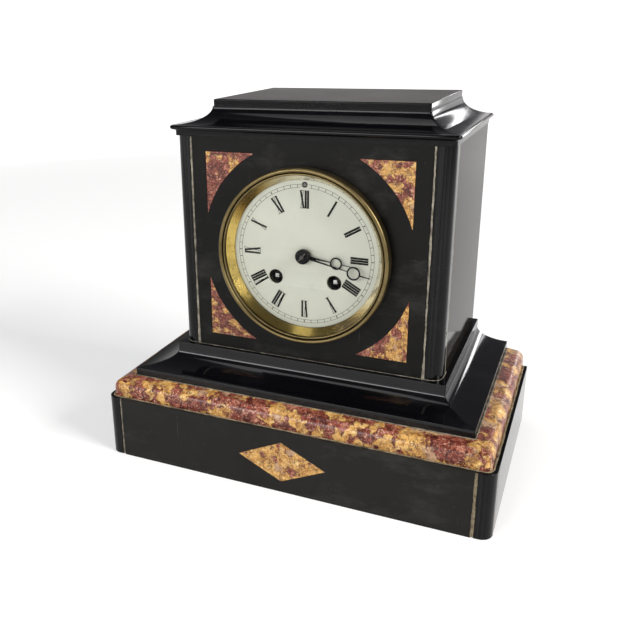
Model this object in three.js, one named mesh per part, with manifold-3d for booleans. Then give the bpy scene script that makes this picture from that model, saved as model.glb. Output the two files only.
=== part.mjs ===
// Table clock in black slate with red marble inlays and bands. A round gilt bezel opens over an
// enamel dial, and a spring driven striking movement with a short pendulum stands behind it.
// Millimetres, +Z up. The dial faces -Y and the plinth stands on Z = 0.

import * as THREE from "three";
import { mergeVertices } from "three/addons/utils/BufferGeometryUtils.js";
import Module from "manifold-3d";

const wasm = await Module();
wasm.setup();

// Driving dimensions of the case
const plinthWidth = 252;
const plinthDepth = 153;
const plinthHeight = 42;
const plinthSlab = 12;
const postWidth = 10.3;
const postRadius = 7;
const bandHeight = 12;
const bandNose = 5;
const bandSetback = 1.2;
const bandSeat = 19;
const mouldingInset = 15;
const mouldingLip = 5;
const mouldingCove = 8.5;
const mouldingFillet = 5.5;
const mouldingSeat = 16;
const mouldingQuirk = 0.8;
const bodyInset = 40;
const bodyHeight = 138;
const bodySlab = 12;
const bodySide = 12;
const bodyBack = 10;
const bodyLedge = 3.7;
const columnWidth = 10.3;
const columnRadius = 7;
const corniceOverhang = 3;
const corniceNeck = 2.2;
const corniceRoll = 3.8;
const corniceCorner = 3;
const capLedge = 5;
const capLip = 0.6;
const capRun = 15.4;
const capRise = 9.6;
const capStep = 0.6;
const capFillet = 4.4;
const capArris = 0.4;

// Joints in the stonework
const jointWidth = 0.8;
const fineJoint = 0.3;
const mitreGap = 0.2;
const jointBevel = 0.6;

// Inlays
const spandrelSideMargin = 9.9;
const spandrelTopMargin = 9;
const spandrelWidth = 31.6;
const spandrelHeight = 38.2;
const spandrelArc = 68.35;
const diamondHalfWidth = 28.5;
const diamondHalfHeight = 13.5;
const inlayThickness = 4;

// Dial, rings and bezel, measured back from the face of the front panel
const openingRadius = 50;
const runClearance = 0.3;
const ringTube = 1.1;
const ringFlange = 3.5;
const ringFlangeDepth = 1.8;
const ringDepth = 12;
const ringLip = 1.8;
const ringLipThickness = 1.4;
const dialThickness = 1.3;
const dialHole = 3.6;
const windX = 19;
const windZ = -15.5;
const windHole = 4.2;
const regulatorRadius = 43.2;
const regulatorHole = 1.8;
const regulatorSquare = 1.8;
const regulatorRecess = 0.6;
const dialFootRadius = 1.2;
const dialFootPlace = 37;
const bezelOuter = 54.3;
const bezelHeel = 0.5;
const bezelBead = 1.3;
const bezelHeight = 6.9;
const bezelWall = 2.5;
const bezelLip = 1.8;
const bezelLipSetback = 0.9;
const bezelLipThickness = 1.2;
const bezelLipBead = 0.7;
const glassThickness = 1.2;
const sightRear = 46.2;
const sightRearStand = 0.4;
const sightWall = 0.55;
const sightFlange = 1;
const strapWidth = 10;
const strapThickness = 2;

// Bezel hinge at the left of the dial
const hingeSink = 0.6;
const hingeLift = 2.7;
const knuckleRadius = 1.5;
const knuckleLength = 8;
const hingePin = 0.6;
const hingeLeaf = 1;

// Hands
const handThickness = 0.8;
const hourHandStand = 1.3;
const handGap = 0.9;
const minuteAngle = 102.2;
const hourAngle = 97;
const minuteTip = 43.2;
const minuteRingPlace = 32.8;
const minuteRing = 4.2;
const hourTip = 31;
const hourRingPlace = 20.8;
const hourRing = 3.8;
const handRingWall = 0.9;
const handPoint = 0.24;
const hourShank = 2.6;
const minuteShank = 2.2;
const colletRadius = 4.6;
const colletHeight = 1.7;
const colletChamfer = 0.7;
const hourHub = 4.4;

// Movement plates and arbors
const plateRadius = 41.5;
const plateThickness = 2;
const frontPlateStand = 9;
const plateSpan = 36;
const pillarRadius = 2.2;
const pillarPlace = 36;
const stoutArbor = 0.9;
const fineArbor = 0.55;
const pivotClearance = 0.25;

// Barrels and winding
const barrelTeeth = 40;
const barrelModule = 0.78;
const barrelStand = 2;
const barrelDrum = 14.3;
const barrelDrumHeight = 15.6;
const barrelWheel = 2.4;
const barrelWall = 1;
const barrelEnd = 1.2;
const windingArbor = 2.4;
const windingSquare = 3.2;
const windingRecess = 2.6;
const ratchetRadius = 6.5;
const ratchetTeeth = 20;
const ratchetThickness = 1.4;
const ratchetDepth = 1.2;
const springInner = 3.6;
const springTurns = 4;
const springSteps = 10;
const springThickness = 0.5;

// Going train
const trainPinion = 8;
const finePinion = 7;
const intermediateTeeth = 40;
const intermediateModule = 0.58;
const centreTeeth = 70;
const centreModule = 0.34;
const thirdTeeth = 70;
const thirdModule = 0.3;
const escapeTeeth = 48;
const escapeRadius = 8.5;
const escapeHeight = 23;
const escapeDepth = 0.9;
const sawSlant = 0.12;
const palletHeight = 37.5;
const palletGap = 1;
const anchorRise = 2.4;
const anchorShoulder = 2.3;
const palletAngle = 50;
const palletReach = 3.6;
const palletNib = 1.2;
const anchorWaist = 1.6;
const wheelThickness = 1.2;
const pinionMargin = 0.6;

// Motion work behind the dial
const cannonTeeth = 12;
const cannonModule = 0.6;
const minuteWheelTeeth = 36;
const minutePinion = 10;
const hourTeeth = 40;
const cannonPipe = 1.9;
const hourPipeWall = 0.8;

// Strike train
const strikeSecondAngle = 90;
const pinWheelAngle = 115;
const pinWheelTeeth = 48;
const pinWheelModule = 0.32;
const pinWheelStand = 10.92;
const warningStep = 3.12;
const warningAngle = 20;
const warningTeeth = 42;
const warningModule = 0.3;
const flyAngle = 60;
const flyHalfWidth = 5;
const flyLength = 12;
const flyThickness = 0.6;
const liftPins = 6;
const liftPinRadius = 0.45;
const liftPinLength = 3;
const liftPinInset = 2;

// Pendulum, hammer and bell, behind the back plate
const pendulumLength = 140;
const pendulumStand = 8;
const rodRadius = 0.9;
const bobRadius = 14;
const bobThickness = 8;
const nutRadius = 3;
const nutHeight = 2.5;
const nutStand = 1;
const rodHeadDrop = 7;
const rodHeadHeight = 2;
const rodHeadHalf = 1.3;
const springStrip = 0.3;
const springWidth = 4.6;
const cockHalfWidth = 8;
const cockHeight = 7;
const cockMargin = 1.6;
const cockFootDrop = 3;
const jawThickness = 1.5;
const crutchStand = 2.6;
const crutchDrop = 27;
const crutchHalf = 1;
const forkHeight = 2;
const bellRadius = 33;
const bellDepth = 18;
const bellWall = 1.6;
const bellStand = 17;
const bellPost = 2;
const bellCollar = 3.6;
const bellNut = 2;
const bellSeatGap = 0.4;
const bellFootPlace = 22.5;
const bellFootAngle = -13;
const standThickness = 1.5;
const standReach = 6.5;
const hammerX = -33.5;
const hammerZ = 5.5;
const hammerDrop = 20;
const hammerHead = 3;
const hammerGap = 1.4;
const hammerStand = 4;
const hammerShank = 2;
const hammerThickness = 1.6;
const hammerHeadStart = 0.5;

// Back ring and lift out cover
const backRingTube = 3.2;
const backRingFlange = 3.5;
const backRingFlangeDepth = 2;
const backRingDepth = 13;
const coverSetback = 3.8;
const coverThickness = 1.2;
const coverRim = 7;
const coverKnob = 3.2;
const coverKnobNeck = 2.2;
const coverKnobSetback = 1;
const coverKnobRise = 1.5;
const coverVents = 4;
const coverVentRadius = 3;
const coverVentPlace = 26;

// Roundness
const bigSides = 40;
const rearSides = 32;
const plateSides = 28;
const handSides = 16;
const midSides = 20;
const holeSides = 12;
const smallSides = 8;
const pinSides = 5;
const arcSides = 64;
const cornerSteps = 6;
const beadSteps = 5;

// Colours
const slate = { color: 0x232325, roughness: 0.35, metalness: 0.0 };
const polishedSlate = { color: 0x141416, roughness: 0.12, metalness: 0.0 };
const marble = { color: 0x8c3b33, roughness: 0.3, metalness: 0.0 };
const gilt = { color: 0xa98a4a, roughness: 0.3, metalness: 1.0 };
const brightGilt = { color: 0xd2b063, roughness: 0.15, metalness: 1.0 };
const brass = { color: 0xb89b57, roughness: 0.35, metalness: 1.0 };
const enamel = { color: 0xe4e4d8, roughness: 0.15, metalness: 0.0 };
const blackSteel = { color: 0x16161a, roughness: 0.3, metalness: 0.8 };
const steel = { color: 0x8d8f92, roughness: 0.3, metalness: 1.0 };
const clearGlass = { color: 0xe8f0ee, roughness: 0.03, transparent: true, opacity: 0.15 };
const bellMetal = { color: 0xb7a06a, roughness: 0.25, metalness: 1.0 };

// Solid helpers
const degree = Math.PI / 180;
const cutPast = 1;
const weldDistance = 1e-4;

function solid(geometry) {
  geometry.deleteAttribute("normal");
  geometry.deleteAttribute("uv");
  const welded = mergeVertices(geometry, weldDistance);
  const points = new Float32Array(welded.attributes.position.array);
  const faces = new Uint32Array(welded.index.array);
  const whole = new wasm.Manifold(new wasm.Mesh({ numProp: 3, vertProperties: points, triVerts: faces }));
  if (whole.volume() > 0) {
    return whole;
  }
  const flipped = faces.map((corner, place) => faces[place - (place % 3) + [0, 2, 1][place % 3]]);
  return new wasm.Manifold(new wasm.Mesh({ numProp: 3, vertProperties: points, triVerts: flipped }));
}

function block(x0, x1, y0, y1, z0, z1) {
  const box = new THREE.BoxGeometry(x1 - x0, y1 - y0, z1 - z0);
  box.translate((x0 + x1) / 2, (y0 + y1) / 2, (z0 + z1) / 2);
  return solid(box);
}

function drumY(radius, y0, y1, sides, x = 0, z = 0) {
  const drum = new THREE.CylinderGeometry(radius, radius, y1 - y0, sides);
  drum.translate(x, (y0 + y1) / 2, z);
  return solid(drum);
}

function drumZ(radius, z0, z1, sides, x = 0, y = 0) {
  const drum = new THREE.CylinderGeometry(radius, radius, z1 - z0, sides);
  drum.rotateX(Math.PI / 2);
  drum.translate(x, y, (z0 + z1) / 2);
  return solid(drum);
}

// A ring turned about Y from pairs of radius and depth
function turned(section, sides) {
  const points = section.map(([radius, depth]) => new THREE.Vector2(radius, depth));
  if (section[0][0] > 0) {
    points.push(points[0].clone());
  }
  return solid(new THREE.LatheGeometry(points, sides));
}

function flat(points) {
  return new THREE.Shape(points.map(([x, y]) => new THREE.Vector2(x, y)));
}

// A plate with its outline in X and Z, from y0 back to y1
function plateY(outline, y0, y1, holes = []) {
  const shape = flat(outline);
  shape.holes = holes.map((hole) => new THREE.Path(hole.map(([x, z]) => new THREE.Vector2(x, z))));
  const plate = new THREE.ExtrudeGeometry(shape, { depth: y1 - y0, bevelEnabled: false });
  plate.rotateX(Math.PI / 2);
  plate.translate(0, y1, 0);
  return solid(plate);
}

// An upright prism with its outline in X and Y
function prismZ(outline, z0, z1) {
  const prism = new THREE.ExtrudeGeometry(flat(outline), { depth: z1 - z0, bevelEnabled: false });
  prism.translate(0, 0, z0);
  return solid(prism);
}

function ringOfPoints(radius, count, x = 0, z = 0) {
  const points = [];
  for (let step = 0; step < count; step += 1) {
    const angle = (step / count) * 2 * Math.PI;
    points.push([x + radius * Math.cos(angle), z + radius * Math.sin(angle)]);
  }
  return points;
}

function arcPoints(x, z, radius, from, to, count) {
  const points = [];
  for (let step = 0; step <= count; step += 1) {
    const angle = from + ((to - from) * step) / count;
    points.push([x + radius * Math.cos(angle), z + radius * Math.sin(angle)]);
  }
  return points;
}

function mirrorX(points) {
  return points.map(([x, y]) => [-x, y]);
}

const clock = new THREE.Group();
clock.name = "table_clock";

function addPiece(parent, name, whole, look, place = [0, 0, 0]) {
  const data = whole.getMesh();
  const geometry = new THREE.BufferGeometry();
  geometry.setAttribute("position", new THREE.BufferAttribute(new Float32Array(data.vertProperties), 3));
  geometry.setIndex(new THREE.BufferAttribute(new Uint32Array(data.triVerts), 1));
  geometry.computeVertexNormals();
  const piece = new THREE.Mesh(geometry, new THREE.MeshStandardMaterial(look));
  piece.name = name;
  piece.position.set(...place);
  parent.add(piece);
  return piece;
}

// Levels of the case
const halfWidth = plinthWidth / 2;
const frontY = -plinthDepth / 2;
const backY = plinthDepth / 2;
const bandTop = plinthHeight + bandHeight;
const mouldingTop = bandTop + mouldingLip + mouldingCove + mouldingFillet;
const bodyTop = mouldingTop + bodyHeight;
const neckTop = bodyTop + corniceNeck;
const corniceTop = neckTop + corniceRoll;
const coveTop = corniceTop + capLip + capRise;
const capTop = coveTop + capFillet;
const bodyFrontY = frontY + bodyInset;
const bodyHalf = halfWidth - bodyInset;
const dialZ = mouldingTop + bodyHeight / 2;

// Plinth
const postInner = halfWidth - postWidth;
const postBackY = frontY + plinthSlab;

function roundedPost(inner, outer, front, back, radius) {
  const bevelled = [[inner, back], [inner, front + jointBevel], [inner + jointBevel, front]];
  const corner = arcPoints(outer - radius, front + radius, radius, -Math.PI / 2, 0, cornerSteps);
  return [...bevelled, ...corner, [outer, back]];
}

function panelOutline(half, front, back, bevel) {
  return [
    [-half, back],
    [-half, front + bevel],
    [-half + bevel, front],
    [half - bevel, front],
    [half, front + bevel],
    [half, back],
  ];
}

const diamond = (margin) => [
  [-diamondHalfWidth - margin, plinthHeight / 2],
  [0, plinthHeight / 2 - diamondHalfHeight - margin],
  [diamondHalfWidth + margin, plinthHeight / 2],
  [0, plinthHeight / 2 + diamondHalfHeight + margin],
];

const plinthPanel = panelOutline(postInner - jointWidth, frontY, postBackY, jointBevel);
const plinthFront = prismZ(plinthPanel, 0, plinthHeight)
  .subtract(plateY(diamond(fineJoint), frontY - cutPast, frontY + inlayThickness + fineJoint));
addPiece(clock, "plinth_front_panel", plinthFront, slate);
addPiece(clock, "plinth_diamond_inlay", plateY(diamond(0), frontY, frontY + inlayThickness), marble);

const plinthPost = roundedPost(postInner, halfWidth, frontY, postBackY, postRadius);
addPiece(clock, "plinth_corner_right", prismZ(plinthPost, 0, plinthHeight), polishedSlate);
addPiece(clock, "plinth_corner_left", prismZ(mirrorX(plinthPost), 0, plinthHeight), polishedSlate);

const sideFrontY = postBackY + jointWidth;
const plinthSideInner = halfWidth - plinthSlab;
addPiece(clock, "plinth_right_panel",
  block(plinthSideInner, halfWidth, sideFrontY, backY, 0, plinthHeight), polishedSlate);
addPiece(clock, "plinth_left_panel",
  block(-halfWidth, -plinthSideInner, sideFrontY, backY, 0, plinthHeight), polishedSlate);

// Back of the plinth, stepped up between the ends of the bands and mouldings to carry the body
const bandInnerInset = mouldingInset + bandSeat;
const mouldingInnerInset = bodyInset + mouldingSeat;
const backSteps = [
  [plinthSideInner - fineJoint, 0],
  [plinthSideInner - fineJoint, plinthHeight],
  [halfWidth - bandInnerInset - fineJoint, plinthHeight],
  [halfWidth - bandInnerInset - fineJoint, bandTop],
  [halfWidth - mouldingInnerInset - fineJoint, bandTop],
  [halfWidth - mouldingInnerInset - fineJoint, mouldingTop],
];
const backOutline = [...backSteps, ...mirrorX(backSteps).reverse()];
addPiece(clock, "plinth_back_panel", plateY(backOutline, backY - plinthSlab, backY), slate);

// Mitred runs of a moulding: a section of inset and height, swept along the front or a side
function run(section, start, end, placeVertex) {
  const shape = flat(section);
  const sweep = new THREE.ExtrudeGeometry(shape, { depth: 1, bevelEnabled: false });
  const position = sweep.attributes.position;
  for (let index = 0; index < position.count; index += 1) {
    const inset = position.getX(index);
    const height = position.getY(index);
    const along = position.getZ(index) < 0.5 ? start(inset) : end(inset);
    position.setXYZ(index, ...placeVertex(along, inset, height));
  }
  return solid(sweep);
}

function frontRun(section) {
  const reach = (inset) => halfWidth - inset - mitreGap;
  const place = (along, inset, height) => [along, frontY + inset, height];
  return run(section, (inset) => -reach(inset), reach, place);
}

function sideRun(section, side) {
  const place = (along, inset, height) => [side * (halfWidth - inset), along, height];
  return run(section, (inset) => frontY + inset + mitreGap, () => backY, place);
}

// Marble band on the plinth
const bandSection = [
  [bandInnerInset, plinthHeight],
  [bandInnerInset, bandTop],
  ...arcPoints(bandSetback + bandNose, bandTop - bandNose, bandNose, Math.PI / 2, Math.PI, 6),
  [bandSetback, plinthHeight],
];
addPiece(clock, "marble_band_front", frontRun(bandSection), marble);
addPiece(clock, "marble_band_left", sideRun(bandSection, -1), marble);
addPiece(clock, "marble_band_right", sideRun(bandSection, 1), marble);

// Hollow base moulding under the body
const filletInset = bodyInset - bodyLedge;
const coveRun = filletInset - mouldingInset - mouldingQuirk;
const coveFoot = bandTop + mouldingLip;
const coveHead = coveFoot + mouldingCove;
const coveSection = [];
const coveSteps = 9;
for (let step = 0; step <= coveSteps; step += 1) {
  const angle = (step / coveSteps) * (Math.PI / 2);
  coveSection.push([
    mouldingInset + mouldingQuirk + coveRun * Math.cos(angle),
    coveHead - mouldingCove * Math.sin(angle),
  ]);
}
const mouldingSection = [
  [mouldingInnerInset, bandTop],
  [mouldingInnerInset, mouldingTop],
  [filletInset, mouldingTop],
  ...coveSection,
  [mouldingInset, coveFoot],
  [mouldingInset, bandTop],
];
addPiece(clock, "base_moulding_front", frontRun(mouldingSection), polishedSlate);
addPiece(clock, "base_moulding_left", sideRun(mouldingSection, -1), polishedSlate);
addPiece(clock, "base_moulding_right", sideRun(mouldingSection, 1), polishedSlate);

// Body
const columnInner = bodyHalf - columnWidth;
const panelHalf = columnInner - jointWidth;
const panelBackY = bodyFrontY + bodySlab;

// A corner inlay with two straight edges and one hollow edge round the dial, or its pocket
function spandrel(sideX, sideZ, margin, front, back) {
  const outerX = panelHalf - spandrelSideMargin;
  const outerZ = bodyHeight / 2 - spandrelTopMargin;
  const rising = (low, high) => low - high;
  const acrossX = [outerX - spandrelWidth - margin, outerX + margin].map((x) => sideX * x).sort(rising);
  const acrossZ = [outerZ - spandrelHeight - margin, outerZ + margin].map((z) => dialZ + sideZ * z).sort(rising);
  return block(...acrossX, front, back, ...acrossZ)
    .subtract(drumY(spandrelArc - margin, front - cutPast, back + cutPast, arcSides, 0, dialZ));
}

const corners = [["top_left", -1, 1], ["top_right", 1, 1], ["bottom_left", -1, -1], ["bottom_right", 1, -1]];
let bodyFront = prismZ(panelOutline(panelHalf, bodyFrontY, panelBackY, jointBevel), mouldingTop, bodyTop)
  .subtract(drumY(openingRadius, bodyFrontY - cutPast, panelBackY + cutPast, bigSides, 0, dialZ));
const inlayBackY = bodyFrontY + inlayThickness;
for (const [label, sideX, sideZ] of corners) {
  addPiece(clock, `spandrel_${label}`, spandrel(sideX, sideZ, 0, bodyFrontY, inlayBackY), marble);
  bodyFront = bodyFront
    .subtract(spandrel(sideX, sideZ, fineJoint, bodyFrontY - cutPast, inlayBackY + fineJoint));
}
addPiece(clock, "body_front_panel", bodyFront, slate);

const column = roundedPost(columnInner, bodyHalf, bodyFrontY, panelBackY, columnRadius);
addPiece(clock, "body_corner_right", prismZ(column, mouldingTop, bodyTop), polishedSlate);
addPiece(clock, "body_corner_left", prismZ(mirrorX(column), mouldingTop, bodyTop), polishedSlate);

const bodySideFrontY = panelBackY + jointWidth;
const bodySideInner = bodyHalf - bodySide;
addPiece(clock, "body_right_panel",
  block(bodySideInner, bodyHalf, bodySideFrontY, backY, mouldingTop, bodyTop), polishedSlate);
addPiece(clock, "body_left_panel",
  block(-bodyHalf, -bodySideInner, bodySideFrontY, backY, mouldingTop, bodyTop), polishedSlate);

const backHalf = bodySideInner - fineJoint;
const backInnerY = backY - bodyBack;
const backRingOuter = openingRadius + backRingFlange;
const bodyBackPanel = block(-backHalf, backHalf, backInnerY, backY, mouldingTop, bodyTop)
  .subtract(drumY(openingRadius, backInnerY - cutPast, backY + cutPast, rearSides, 0, dialZ))
  .subtract(drumY(backRingOuter + fineJoint, backY - backRingFlangeDepth, backY + cutPast,
    rearSides, 0, dialZ));
addPiece(clock, "body_back_panel", bodyBackPanel, slate);

// Cornice and cap: slabs moulded on the front and both sides, flat at the back
function mouldedSlab(levels, corner) {
  const rings = levels.map(([inset, height]) => {
    const half = halfWidth - inset;
    const front = frontY + inset;
    const right = corner > 0
      ? arcPoints(half - corner, front + corner, corner, -Math.PI / 2, 0, 4)
      : [[half, front]];
    const ring = [...mirrorX(right).reverse(), ...right, [half, backY], [-half, backY]];
    return ring.map(([x, y]) => [x, y, height]);
  });
  const count = rings[0].length;
  const index = [];
  for (let level = 0; level + 1 < rings.length; level += 1) {
    for (let place = 0; place < count; place += 1) {
      const low = level * count;
      const next = (place + 1) % count;
      index.push(low + place, low + next, low + count + next);
      index.push(low + place, low + count + next, low + count + place);
    }
  }
  const lid = (rings.length - 1) * count;
  for (let place = 1; place + 1 < count; place += 1) {
    index.push(0, place + 1, place);
    index.push(lid, lid + place, lid + place + 1);
  }
  const geometry = new THREE.BufferGeometry();
  geometry.setAttribute("position", new THREE.BufferAttribute(new Float32Array(rings.flat(2)), 3));
  geometry.setIndex(index);
  return solid(geometry);
}

const corniceInset = bodyInset - corniceOverhang;
const rollRadius = corniceRoll / 2;
const rollLevels = arcPoints(corniceInset + rollRadius, neckTop + rollRadius, rollRadius,
  1.5 * Math.PI, 0.5 * Math.PI, 6);
const corniceLevels = [[corniceInset + rollRadius, bodyTop], ...rollLevels];
addPiece(clock, "cornice_slab", mouldedSlab(corniceLevels, corniceCorner), polishedSlate);

const capInset = corniceInset + capLedge;
const capLevels = [[capInset, corniceTop]];
const capSteps = 9;
for (let step = 0; step <= capSteps; step += 1) {
  const angle = (1 - step / capSteps) * (Math.PI / 2);
  capLevels.push([capInset + capRun * Math.cos(angle), coveTop - capRise * Math.sin(angle)]);
}
capLevels.push([capInset + capRun + capStep, coveTop]);
capLevels.push([capInset + capRun + capStep, capTop - capArris]);
capLevels.push([capInset + capRun + capStep + capArris, capTop]);
addPiece(clock, "cap_block", mouldedSlab(capLevels, 0), polishedSlate);

// Clockwork, placed about the middle of the dial, with depth counted back from the front panel
const works = new THREE.Group();
works.name = "clockwork";
works.position.set(0, bodyFrontY, dialZ);
clock.add(works);
const rearY = backY - bodyFrontY;

const ringOuter = openingRadius - runClearance;
const ringInner = ringOuter - ringTube;
const dialRadius = ringInner - runClearance;
const flangeOuter = openingRadius + ringFlange - runClearance;
const bezelRearY = -ringFlangeDepth - runClearance;
const bezelFrontY = bezelRearY - bezelHeight;
const hingeX = hingeSink - bezelOuter;
const hingeY = -hingeLift;
const ringLipFrontY = dialThickness + runClearance;
const strapEndY = rearY - backRingDepth - runClearance;

// Dial ring with its hinge leaves and the two straps that run to the back of the case
const ringSection = [
  [ringInner, -ringFlangeDepth],
  [flangeOuter, -ringFlangeDepth],
  [flangeOuter, 0],
  [ringOuter, 0],
  [ringOuter, ringDepth],
  [ringInner, ringDepth],
  [ringInner, ringLipFrontY + ringLipThickness],
  [ringInner - ringLip, ringLipFrontY + ringLipThickness],
  [ringInner - ringLip, ringLipFrontY],
  [ringInner, ringLipFrontY],
];
let dialRing = turned(ringSection, bigSides);
const strapOuter = Math.sqrt(ringInner * ringInner - (strapWidth / 2) ** 2) + ringTube / 2;
const strapFootY = ringDepth - plateThickness;
for (const side of [-1, 1]) {
  const near = Math.min(side * strapOuter, side * (strapOuter - strapThickness));
  dialRing = dialRing.add(
    block(near, near + strapThickness, strapFootY, strapEndY, -strapWidth / 2, strapWidth / 2));
}
const leafNear = knuckleLength / 2 + runClearance;
const leafFar = leafNear + knuckleLength / 2;
const pinBore = hingePin + runClearance;
const pinReach = leafFar + hingePin;
const knucklePocket = knuckleRadius + runClearance;
const hingeDrum = (radius, low, high) => drumZ(radius, low, high, smallSides, hingeX, hingeY);
dialRing = dialRing.subtract(hingeDrum(knucklePocket, -leafNear, leafNear));
for (const side of [-1, 1]) {
  const low = Math.min(side * leafNear, side * leafFar);
  const high = Math.max(side * leafNear, side * leafFar);
  dialRing = dialRing
    .add(block(hingeX, hingeLeaf - flangeOuter, -ringFlangeDepth, -runClearance, low, high))
    .add(hingeDrum(knuckleRadius, low, high));
}
dialRing = dialRing.subtract(hingeDrum(pinBore, -pinReach, pinReach));
addPiece(works, "dial_ring", dialRing, gilt);
addPiece(works, "bezel_hinge_pin", hingeDrum(hingePin, -pinReach, pinReach), steel);

// Enamel dial with its feet
const windPlaces = [[windX, windZ], [-windX, windZ]];
const dialHoles = [
  ringOfPoints(dialHole, holeSides),
  ringOfPoints(regulatorHole, smallSides, 0, regulatorRadius),
  ...windPlaces.map(([x, z]) => ringOfPoints(windHole, holeSides, x, z)),
];
let dial = plateY(ringOfPoints(dialRadius, bigSides), 0, dialThickness, dialHoles);
for (const angle of [30, 150, 270]) {
  const x = dialFootPlace * Math.cos(angle * degree);
  const z = dialFootPlace * Math.sin(angle * degree);
  const footEndY = frontPlateStand - runClearance;
  dial = dial.add(drumY(dialFootRadius, dialThickness / 2, footEndY, smallSides, x, z));
}
addPiece(works, "dial", dial, enamel);

// Bezel, glass and sight ring, which swing together on the hinge
const lipFrontY = bezelFrontY + bezelLipSetback;
const lipRearY = lipFrontY + bezelLipThickness;
const bezelInner = bezelOuter - bezelWall;
const lipRadius = bezelInner - bezelLip;
const bezelSection = [
  [bezelInner, bezelRearY],
  [bezelOuter - bezelHeel, bezelRearY],
  [bezelOuter, bezelRearY + bezelHeel],
  ...arcPoints(bezelOuter - bezelBead, bezelFrontY + bezelBead, bezelBead, 0, -Math.PI, beadSteps),
  ...arcPoints(lipRadius + bezelLipBead, lipFrontY + bezelLipBead, bezelLipBead, 0, -Math.PI, beadSteps),
  [lipRadius, lipRearY],
  [bezelInner, lipRearY],
];
const halfKnuckle = knuckleLength / 2;
const pocketEnd = pinReach + runClearance;
const bezel = turned(bezelSection, bigSides)
  .subtract(hingeDrum(knucklePocket, halfKnuckle, pocketEnd))
  .subtract(hingeDrum(knucklePocket, -pocketEnd, -halfKnuckle))
  .add(hingeDrum(knuckleRadius, -halfKnuckle, halfKnuckle))
  .subtract(hingeDrum(pinBore, -pocketEnd, pocketEnd));
addPiece(works, "bezel", bezel, gilt);

const glassFrontY = lipRearY + runClearance;
const glassRearY = glassFrontY + glassThickness;
const glassRadius = bezelInner - runClearance;
addPiece(works, "bezel_glass", drumY(glassRadius, glassFrontY, glassRearY, bigSides), clearGlass);

const sightFrontY = glassRearY + runClearance;
const sightFront = glassRadius - sightFlange;
const sightRearY = -sightRearStand;
const sightSection = [
  [sightFront, sightFrontY],
  [glassRadius, sightFrontY],
  [glassRadius, sightFrontY + sightWall],
  [sightFront + sightWall, sightFrontY + sightWall],
  [sightRear + sightWall, sightRearY],
  [sightRear, sightRearY],
];
addPiece(works, "sight_ring", turned(sightSection, bigSides), brightGilt);

// Hands, drawn pointing to twelve and turned to the hour
function hand(rear, tip, ringPlace, ringRadius, hub, bore, shankWidth) {
  const front = rear - handThickness;
  const inner = ringRadius - handRingWall;
  const base = shankWidth / 2;
  const ringStart = ringPlace - ringRadius + handRingWall / 2;
  const ringEnd = ringPlace + ringRadius - handRingWall / 2;
  const ring = plateY(ringOfPoints(ringRadius, handSides, 0, ringPlace), front, rear,
    [ringOfPoints(inner, handSides, 0, ringPlace)]);
  const shank = plateY([
    [-base, hub - handRingWall],
    [base, hub - handRingWall],
    [base / 2, ringStart],
    [-base / 2, ringStart],
  ], front, rear);
  const point = plateY([
    [-base / 2, ringEnd],
    [base / 2, ringEnd],
    [handPoint / 2, tip],
    [-handPoint / 2, tip],
  ], front, rear);
  const boss = drumY(hub, front, rear, handSides);
  return boss.add(ring).add(shank).add(point)
    .subtract(drumY(bore, front - cutPast, rear + cutPast, holeSides));
}

const hourPipeInner = cannonPipe + runClearance;
const hourPipeOuter = hourPipeInner + hourPipeWall;
const hourRearY = -hourHandStand;
const hourFrontY = hourRearY - handThickness;
const hourBore = hourPipeOuter + runClearance / 2;
const hourHand = hand(hourRearY, hourTip, hourRingPlace, hourRing, hourHub, hourBore, hourShank);
addPiece(works, "hour_hand", hourHand, blackSteel).rotation.y = hourAngle * degree;

const minuteRearY = hourFrontY - handGap;
const colletFrontY = minuteRearY - colletHeight;
const cannonFrontY = minuteRearY - handThickness - runClearance;
const minuteBore = cannonPipe + runClearance / 2;
const minuteHand = hand(minuteRearY, minuteTip, minuteRingPlace, minuteRing, colletRadius,
  minuteBore, minuteShank)
  .add(turned([
    [0, minuteRearY - handThickness / 2],
    [colletRadius, minuteRearY - handThickness / 2],
    [colletRadius, colletFrontY + colletChamfer],
    [colletRadius - colletChamfer, colletFrontY],
    [0, colletFrontY],
  ], handSides))
  .subtract(drumY(minuteBore, cannonFrontY - runClearance, minuteRearY + cutPast, holeSides));
addPiece(works, "minute_hand", minuteHand, blackSteel).rotation.y = minuteAngle * degree;

// Gears: outlines in X and Z, with pointed wheel teeth and narrow pinion leaves
const wheelForm = { below: 1.3, above: 0.9, base: 0.5, top: 0 };
const pinionForm = { below: 1.3, above: 0.6, base: 0.17, top: 0.09 };

function gearOutline(teeth, size, phase, form) {
  const pitchRadius = (teeth * size) / 2;
  const pitch = (2 * Math.PI) / teeth;
  const root = pitchRadius - form.below * size;
  const tip = pitchRadius + form.above * size;
  const points = [];
  const put = (radius, angle) => points.push([radius * Math.cos(angle), radius * Math.sin(angle)]);
  for (let tooth = 0; tooth < teeth; tooth += 1) {
    const middle = phase + tooth * pitch;
    put(root, middle - form.base * pitch);
    if (form.top > 0) {
      put(tip, middle - form.top * pitch);
      put(tip, middle + form.top * pitch);
      put(root, middle + form.base * pitch);
    } else {
      put(tip, middle);
    }
  }
  return points;
}

// Teeth slanting one way, for ratchets and the escape wheel
function sawOutline(teeth, tip, depth) {
  const points = [];
  const pitch = (2 * Math.PI) / teeth;
  for (let tooth = 0; tooth < teeth; tooth += 1) {
    const start = tooth * pitch;
    const low = start + sawSlant * pitch;
    points.push([tip * Math.cos(start), tip * Math.sin(start)]);
    points.push([(tip - depth) * Math.cos(low), (tip - depth) * Math.sin(low)]);
  }
  return points;
}

const bearing = (from, to) => Math.atan2(to[1] - from[1], to[0] - from[0]);
const wheelPhase = (from, to) => bearing(from, to);
const pinionPhase = (wheel, pinion, leaves) => bearing(pinion, wheel) - Math.PI / leaves;
const meshDistance = (size, teeth, leaves) => (size * (teeth + leaves)) / 2;

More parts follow.
